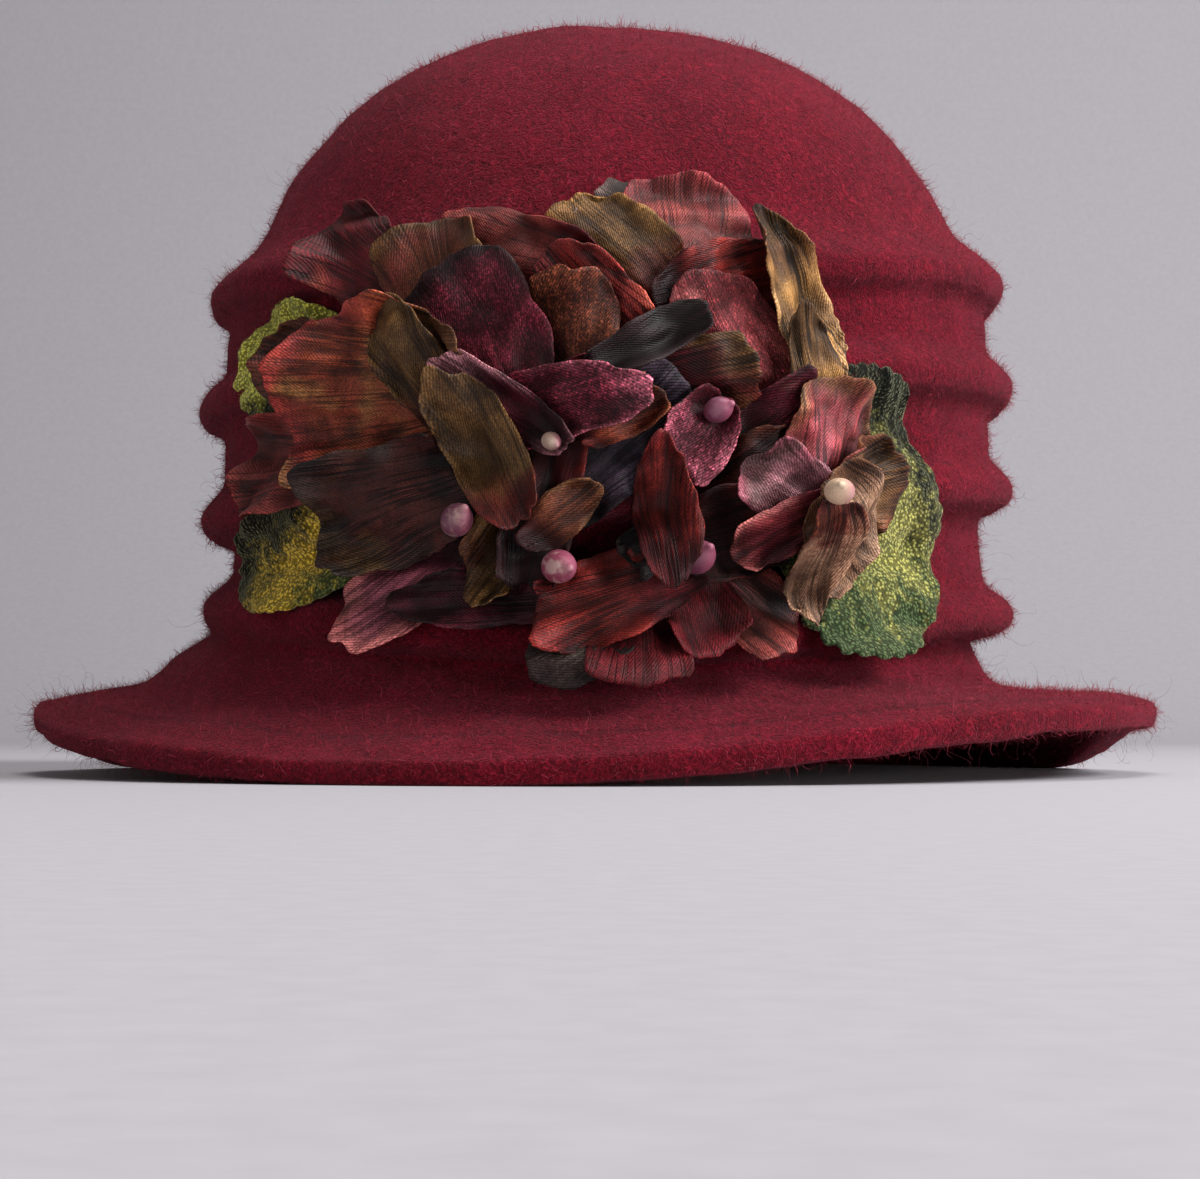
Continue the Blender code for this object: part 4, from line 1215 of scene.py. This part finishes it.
# %% [markdown]
# ## The velvet leaves
# Three leaves of cotton velvet lie under the petals. They were printed in yellow green,
# shaded with dark green and almost black, and cut with a serrated edge. The same grid serves
# for them, with teeth on its outline and a pressed mid-rib and veins, and the scatter that
# laid the wool nap now lays their much shorter pile.

# %% Wire the velvet
def velvet_finish(leaf, middle, half):
    """Printed velvet: light green, a darker green to one side and black to another, with painted light
    on the pile's clumps and painted shade between them.
    """
    material, tree, shader = new_material(leaf.name + "_velvet")
    spot = spot_of(tree)
    x, _, z = parts_of(tree, spot)
    across = (x - middle.x) / half.x
    up = (z - middle.z) / half.z
    drift = (noise_of(tree, spot, 120, 3.0, 0.6, 0.6) - 0.5) * 1.6
    drift = drift + (noise_of(tree, spot, 760, 2.0, 0.6) - 0.5) * 1.3
    colour = tone(*leaf.light)
    for shade, side in ((leaf.dark, leaf.dark_side), (leaf.black, leaf.black_side)):
        towards = across * side[0] + up * side[1]
        colour = blend(tree, (towards + drift).window(0.0, 0.8), colour, tone(*shade))
    cells = add(tree, "ShaderNodeTexVoronoi", {"Vector": spot, "Scale": 1400.0})
    clumps = Wire(tree, cells.outputs["Distance"]).window(0.70, 0.10)
    mat = clumps * 0.5 + noise_of(tree, spot, 900, 3.0, 0.7, 1.0) * 0.5
    # Painted light and shade of the pile: partly random mottling, partly lighter clump middles and
    # darker places between the clumps.
    painted_pile_shade = blend(tree, mat.window(0.26, 0.72), (0.30, 0.30, 0.27, 1.0), (1.40, 1.40, 1.30, 1.0))
    feed(tree, shader, {
        "Base Color": tinted(tree, colour, painted_pile_shade),
        "Normal": bumped(tree, mat, 1.0, 0.0006),
        "Roughness": 0.85, "Specular IOR Level": 0.15,
        "Sheen Weight": 0.5, "Sheen Roughness": 0.4, "Sheen Tint": tone(225, 230, 180),
    })
    return material


# %% Lay the leaves and their pile
LEAF_THICKNESS = 0.0007
PILE_LOOK = {"Shapes": SHORT_FIBRES, "Density": 3_400_000.0, "Length": 0.00095, "Tilt": 0.9,
             "Lowest": -1.0, "Highest": 1.0}


def ribs(grid):
    """How deep the mid-rib and the veins are pressed."""
    rib = np.exp(-(grid.v / 0.06) ** 2)
    veins = np.abs(np.sin(6.5 * (grid.u - 0.9 * np.abs(grid.v)))) ** 6
    return 0.0005 * rib + 0.0002 * veins * (np.abs(grid.v) < 0.85)


PILE_TREE = scatter_tree("velvet pile", "pile")
leaf_pieces = []
for number, leaf in enumerate(LEAVES):
    sheet, sheet_area, sheet_grid = laid_sheet(leaf, 71 + number, ribs)
    leaf_low, leaf_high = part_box(leaf.name)
    velvet = velvet_finish(leaf, (leaf_low + leaf_high) / 2, (leaf_high - leaf_low) / 2)
    velvet_piece = new_piece("velvet_" + leaf.name, sheet, velvet)
    give_wall(velvet_piece, LEAF_THICKNESS)
    pile_ground = sheet.copy()
    store(pile_ground, "pile", "FLOAT", np.ones(len(pile_ground.vertices)))
    pile = scatter("pile_" + leaf.name, pile_ground, PILE_TREE, velvet, **PILE_LOOK, Seed=31 + number)
    leaf_pieces.append((velvet_piece, sheet_area, sheet_grid, leaf, pile))

# %% [markdown]
# ## The berries
# Six small stamens of hardened paste, the size of a peppercorn, are dipped in lacquer: mauve
# or cream, with a paler tip, chalky patches and a few dark specks. The CAD berries are right
# in form but coarse, so a merged copy of each is subdivided.

# %% Smooth and colour the berries
def berry_finish(berry, low, high):
    """Lacquered paste: a paler tip, a blush to one side and fine specks."""
    material, tree, shader = new_material(berry.name + "_lacquer")
    spot = spot_of(tree)
    x, y, _ = parts_of(tree, spot)
    cloud = noise_of(tree, spot, 520, 3.0, 0.6)
    outward = (high.y - y) / (high.y - low.y)
    tip = tone(*berry.tip)
    colour = blend(tree, (outward + cloud * 0.5).window(1.02, 1.30), tone(*berry.body), tip)
    chalky = noise_of(tree, spot, 330, 3.0, 0.6, 0.5).window(0.50, 0.62)
    colour = blend(tree, chalky * 0.55, colour, tip)
    blush = ((x - low.x) / (high.x - low.x)).window(0.45, 0.90)
    colour = blend(tree, blush * 0.75, colour, tone(168, 88, 112))
    cells = add(tree, "ShaderNodeTexVoronoi", {"Vector": spot, "Scale": 1500.0})
    specks = Wire(tree, cells.outputs["Distance"]).window(0.20, 0.08)
    feed(tree, shader, {
        "Base Color": blend(tree, specks * 0.7, colour, tone(*berry.speck)),
        "Normal": bumped(tree, cloud, 0.5, 0.0003),
        "Roughness": 0.48, "Coat Weight": 0.10, "Coat Roughness": 0.30,
    })
    return material


def berry_mesh(name, slim):
    """A merged copy of a CAD berry, drawn in towards its middle where it is slim."""
    form = merged_form(name, 60)
    middle = sum((point.co for point in form.verts), Vector()) / len(form.verts)
    bmesh.ops.scale(form, vec=Vector((slim, 1.0, slim)), space=Matrix.Translation(-middle),
                    verts=form.verts)
    return form_mesh(form, name + "_form")


berry_pieces = []
for berry_look in BERRIES:
    berry = new_piece("lacquered_" + berry_look.name, berry_mesh(berry_look.name, berry_look.slim),
                      berry_finish(berry_look, *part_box(berry_look.name)))
    rounding = berry.modifiers.new("rounding", "SUBSURF")
    rounding.levels = rounding.render_levels = 2
    berry_pieces.append((berry, berry_look))
print(len(berry_pieces), "berries")

# %% [markdown]
# ## Riding with the hat
# Every piece rides on the hat's one body and stands for the CAD nodes it was made from. For
# the petals and leaves, which are sheets of cloth, a flat size is worked out: the solid's
# width and length, with as much let out as the pleats take up. It is not used further.

# %% Hand the pieces to the frame
SMALLEST_SIDE = 0.0105


def declare_sheet(area, grid):
    width = max(2.0 * grid.wide, SMALLEST_SIDE)
    length = max(2.0 * grid.long, SMALLEST_SIDE)
    grow = max(1.0, math.sqrt(area / (0.98 * width * length)))


finish_piece(felt_body, "wool_felt", "felt_hat")
for nap_piece in felt_nap:
    finish_piece(nap_piece, "wool_felt")
for petal, sheet_area, sheet_grid, look in cloth_pieces:
    finish_piece(petal, "petal_" + look.slot, look.name)
    declare_sheet(sheet_area, sheet_grid)
for velvet_piece, sheet_area, sheet_grid, leaf, pile in leaf_pieces:
    finish_piece(velvet_piece, "velvet_leaf", leaf.name)
    finish_piece(pile, "velvet_leaf")
    declare_sheet(sheet_area, sheet_grid)
for berry, berry_look in berry_pieces:
    finish_piece(berry, berry_look.slot, berry_look.name)

# %% [markdown]
# ## Floor, light and camera
# The hat rests on a pale floor that curves up into a backdrop, as in a small studio. The
# light is soft and comes mostly from the right, as from a window, so the left side falls
# into shade. The camera stands almost at floor height and looks slightly up.

# %% Floor and backdrop
def floor_and_backdrop():
    """One sheet: a level floor that rises behind the hat through a wide curve."""
    profile = [(-1.6, 0.0), (0.7, 0.0)]
    for step in range(1, 13):
        angle = math.radians(90 * step / 12)
        profile.append((0.7 + 0.5 * math.sin(angle), 0.5 - 0.5 * math.cos(angle)))
    profile.append((1.2, 2.4))
    points = [(x, y, z) for x in (-2.5, 2.5) for y, z in profile]
    count = len(profile)
    faces = [(i, count + i, count + i + 1, i + 1) for i in range(count - 1)]
    mesh = built_mesh("floor", points, faces)
    material, tree, shader = new_material("pale backdrop")
    grain = noise_of(tree, spot_of(tree), 300, 2.0)
    feed(tree, shader, {
        "Base Color": blend(tree, grain.window(0.2, 0.8), tone(176, 174, 179), tone(181, 179, 184)),
        "Roughness": 0.9, "Specular IOR Level": 0.1,
    })
    return new_piece("floor", mesh, material)


floor_and_backdrop()

# %% Lights
MIDDLE = (CROWN_X, CROWN_Y, 0.08)
RIGHT_RIM = (CROWN_X + 0.1, CROWN_Y, 0.02)
LIGHTS = (
    ("window", (1.20, -0.45, 0.95), MIDDLE, 0.7, 28.5, (1.0, 0.985, 1.0)),
    ("above", (0.15, -0.15, 1.3), MIDDLE, 0.6, 8.5, (1.0, 0.97, 0.96)),
    ("fill", (-0.9, -0.9, 0.4), MIDDLE, 0.9, 2.4, (1.0, 0.95, 0.92)),
    ("low", (0.60, -0.75, 0.06), RIGHT_RIM, 0.20, 3.6, (1.0, 0.97, 0.96)),
)
for name, place, target, size, power, colour in LIGHTS:
    lamp = bpy.data.lights.new(name, "AREA")
    lamp.energy = power
    lamp.size = size
    lamp.color = colour
    light = linked(name, lamp)
    light.location = place
    light.rotation_euler = (Vector(target) - Vector(place)).to_track_quat("-Z", "Y").to_euler()
world = bpy.data.worlds.new("studio")
bpy.context.scene.world = world
world.use_nodes = True
feed(world.node_tree, world.node_tree.nodes["Background"],
     {"Color": (0.90, 0.88, 0.90, 1.0), "Strength": 0.16})
bpy.context.scene.view_settings.view_transform = "Standard"
print(len(LIGHTS), "lights")

# %% Camera
CAMERA_PITCH = math.radians(2.85)
camera_data = bpy.data.cameras.new("camera")
camera_data.sensor_width = 36.0
camera_data.lens = 78.3
camera_data.clip_start = 0.005
camera = linked("camera", camera_data)
camera.location = (CROWN_X - 0.0014, CROWN_Y - 0.60, 0.012)
camera.rotation_euler = (math.pi / 2 + CAMERA_PITCH, 0, 0)
bpy.context.scene.camera = camera
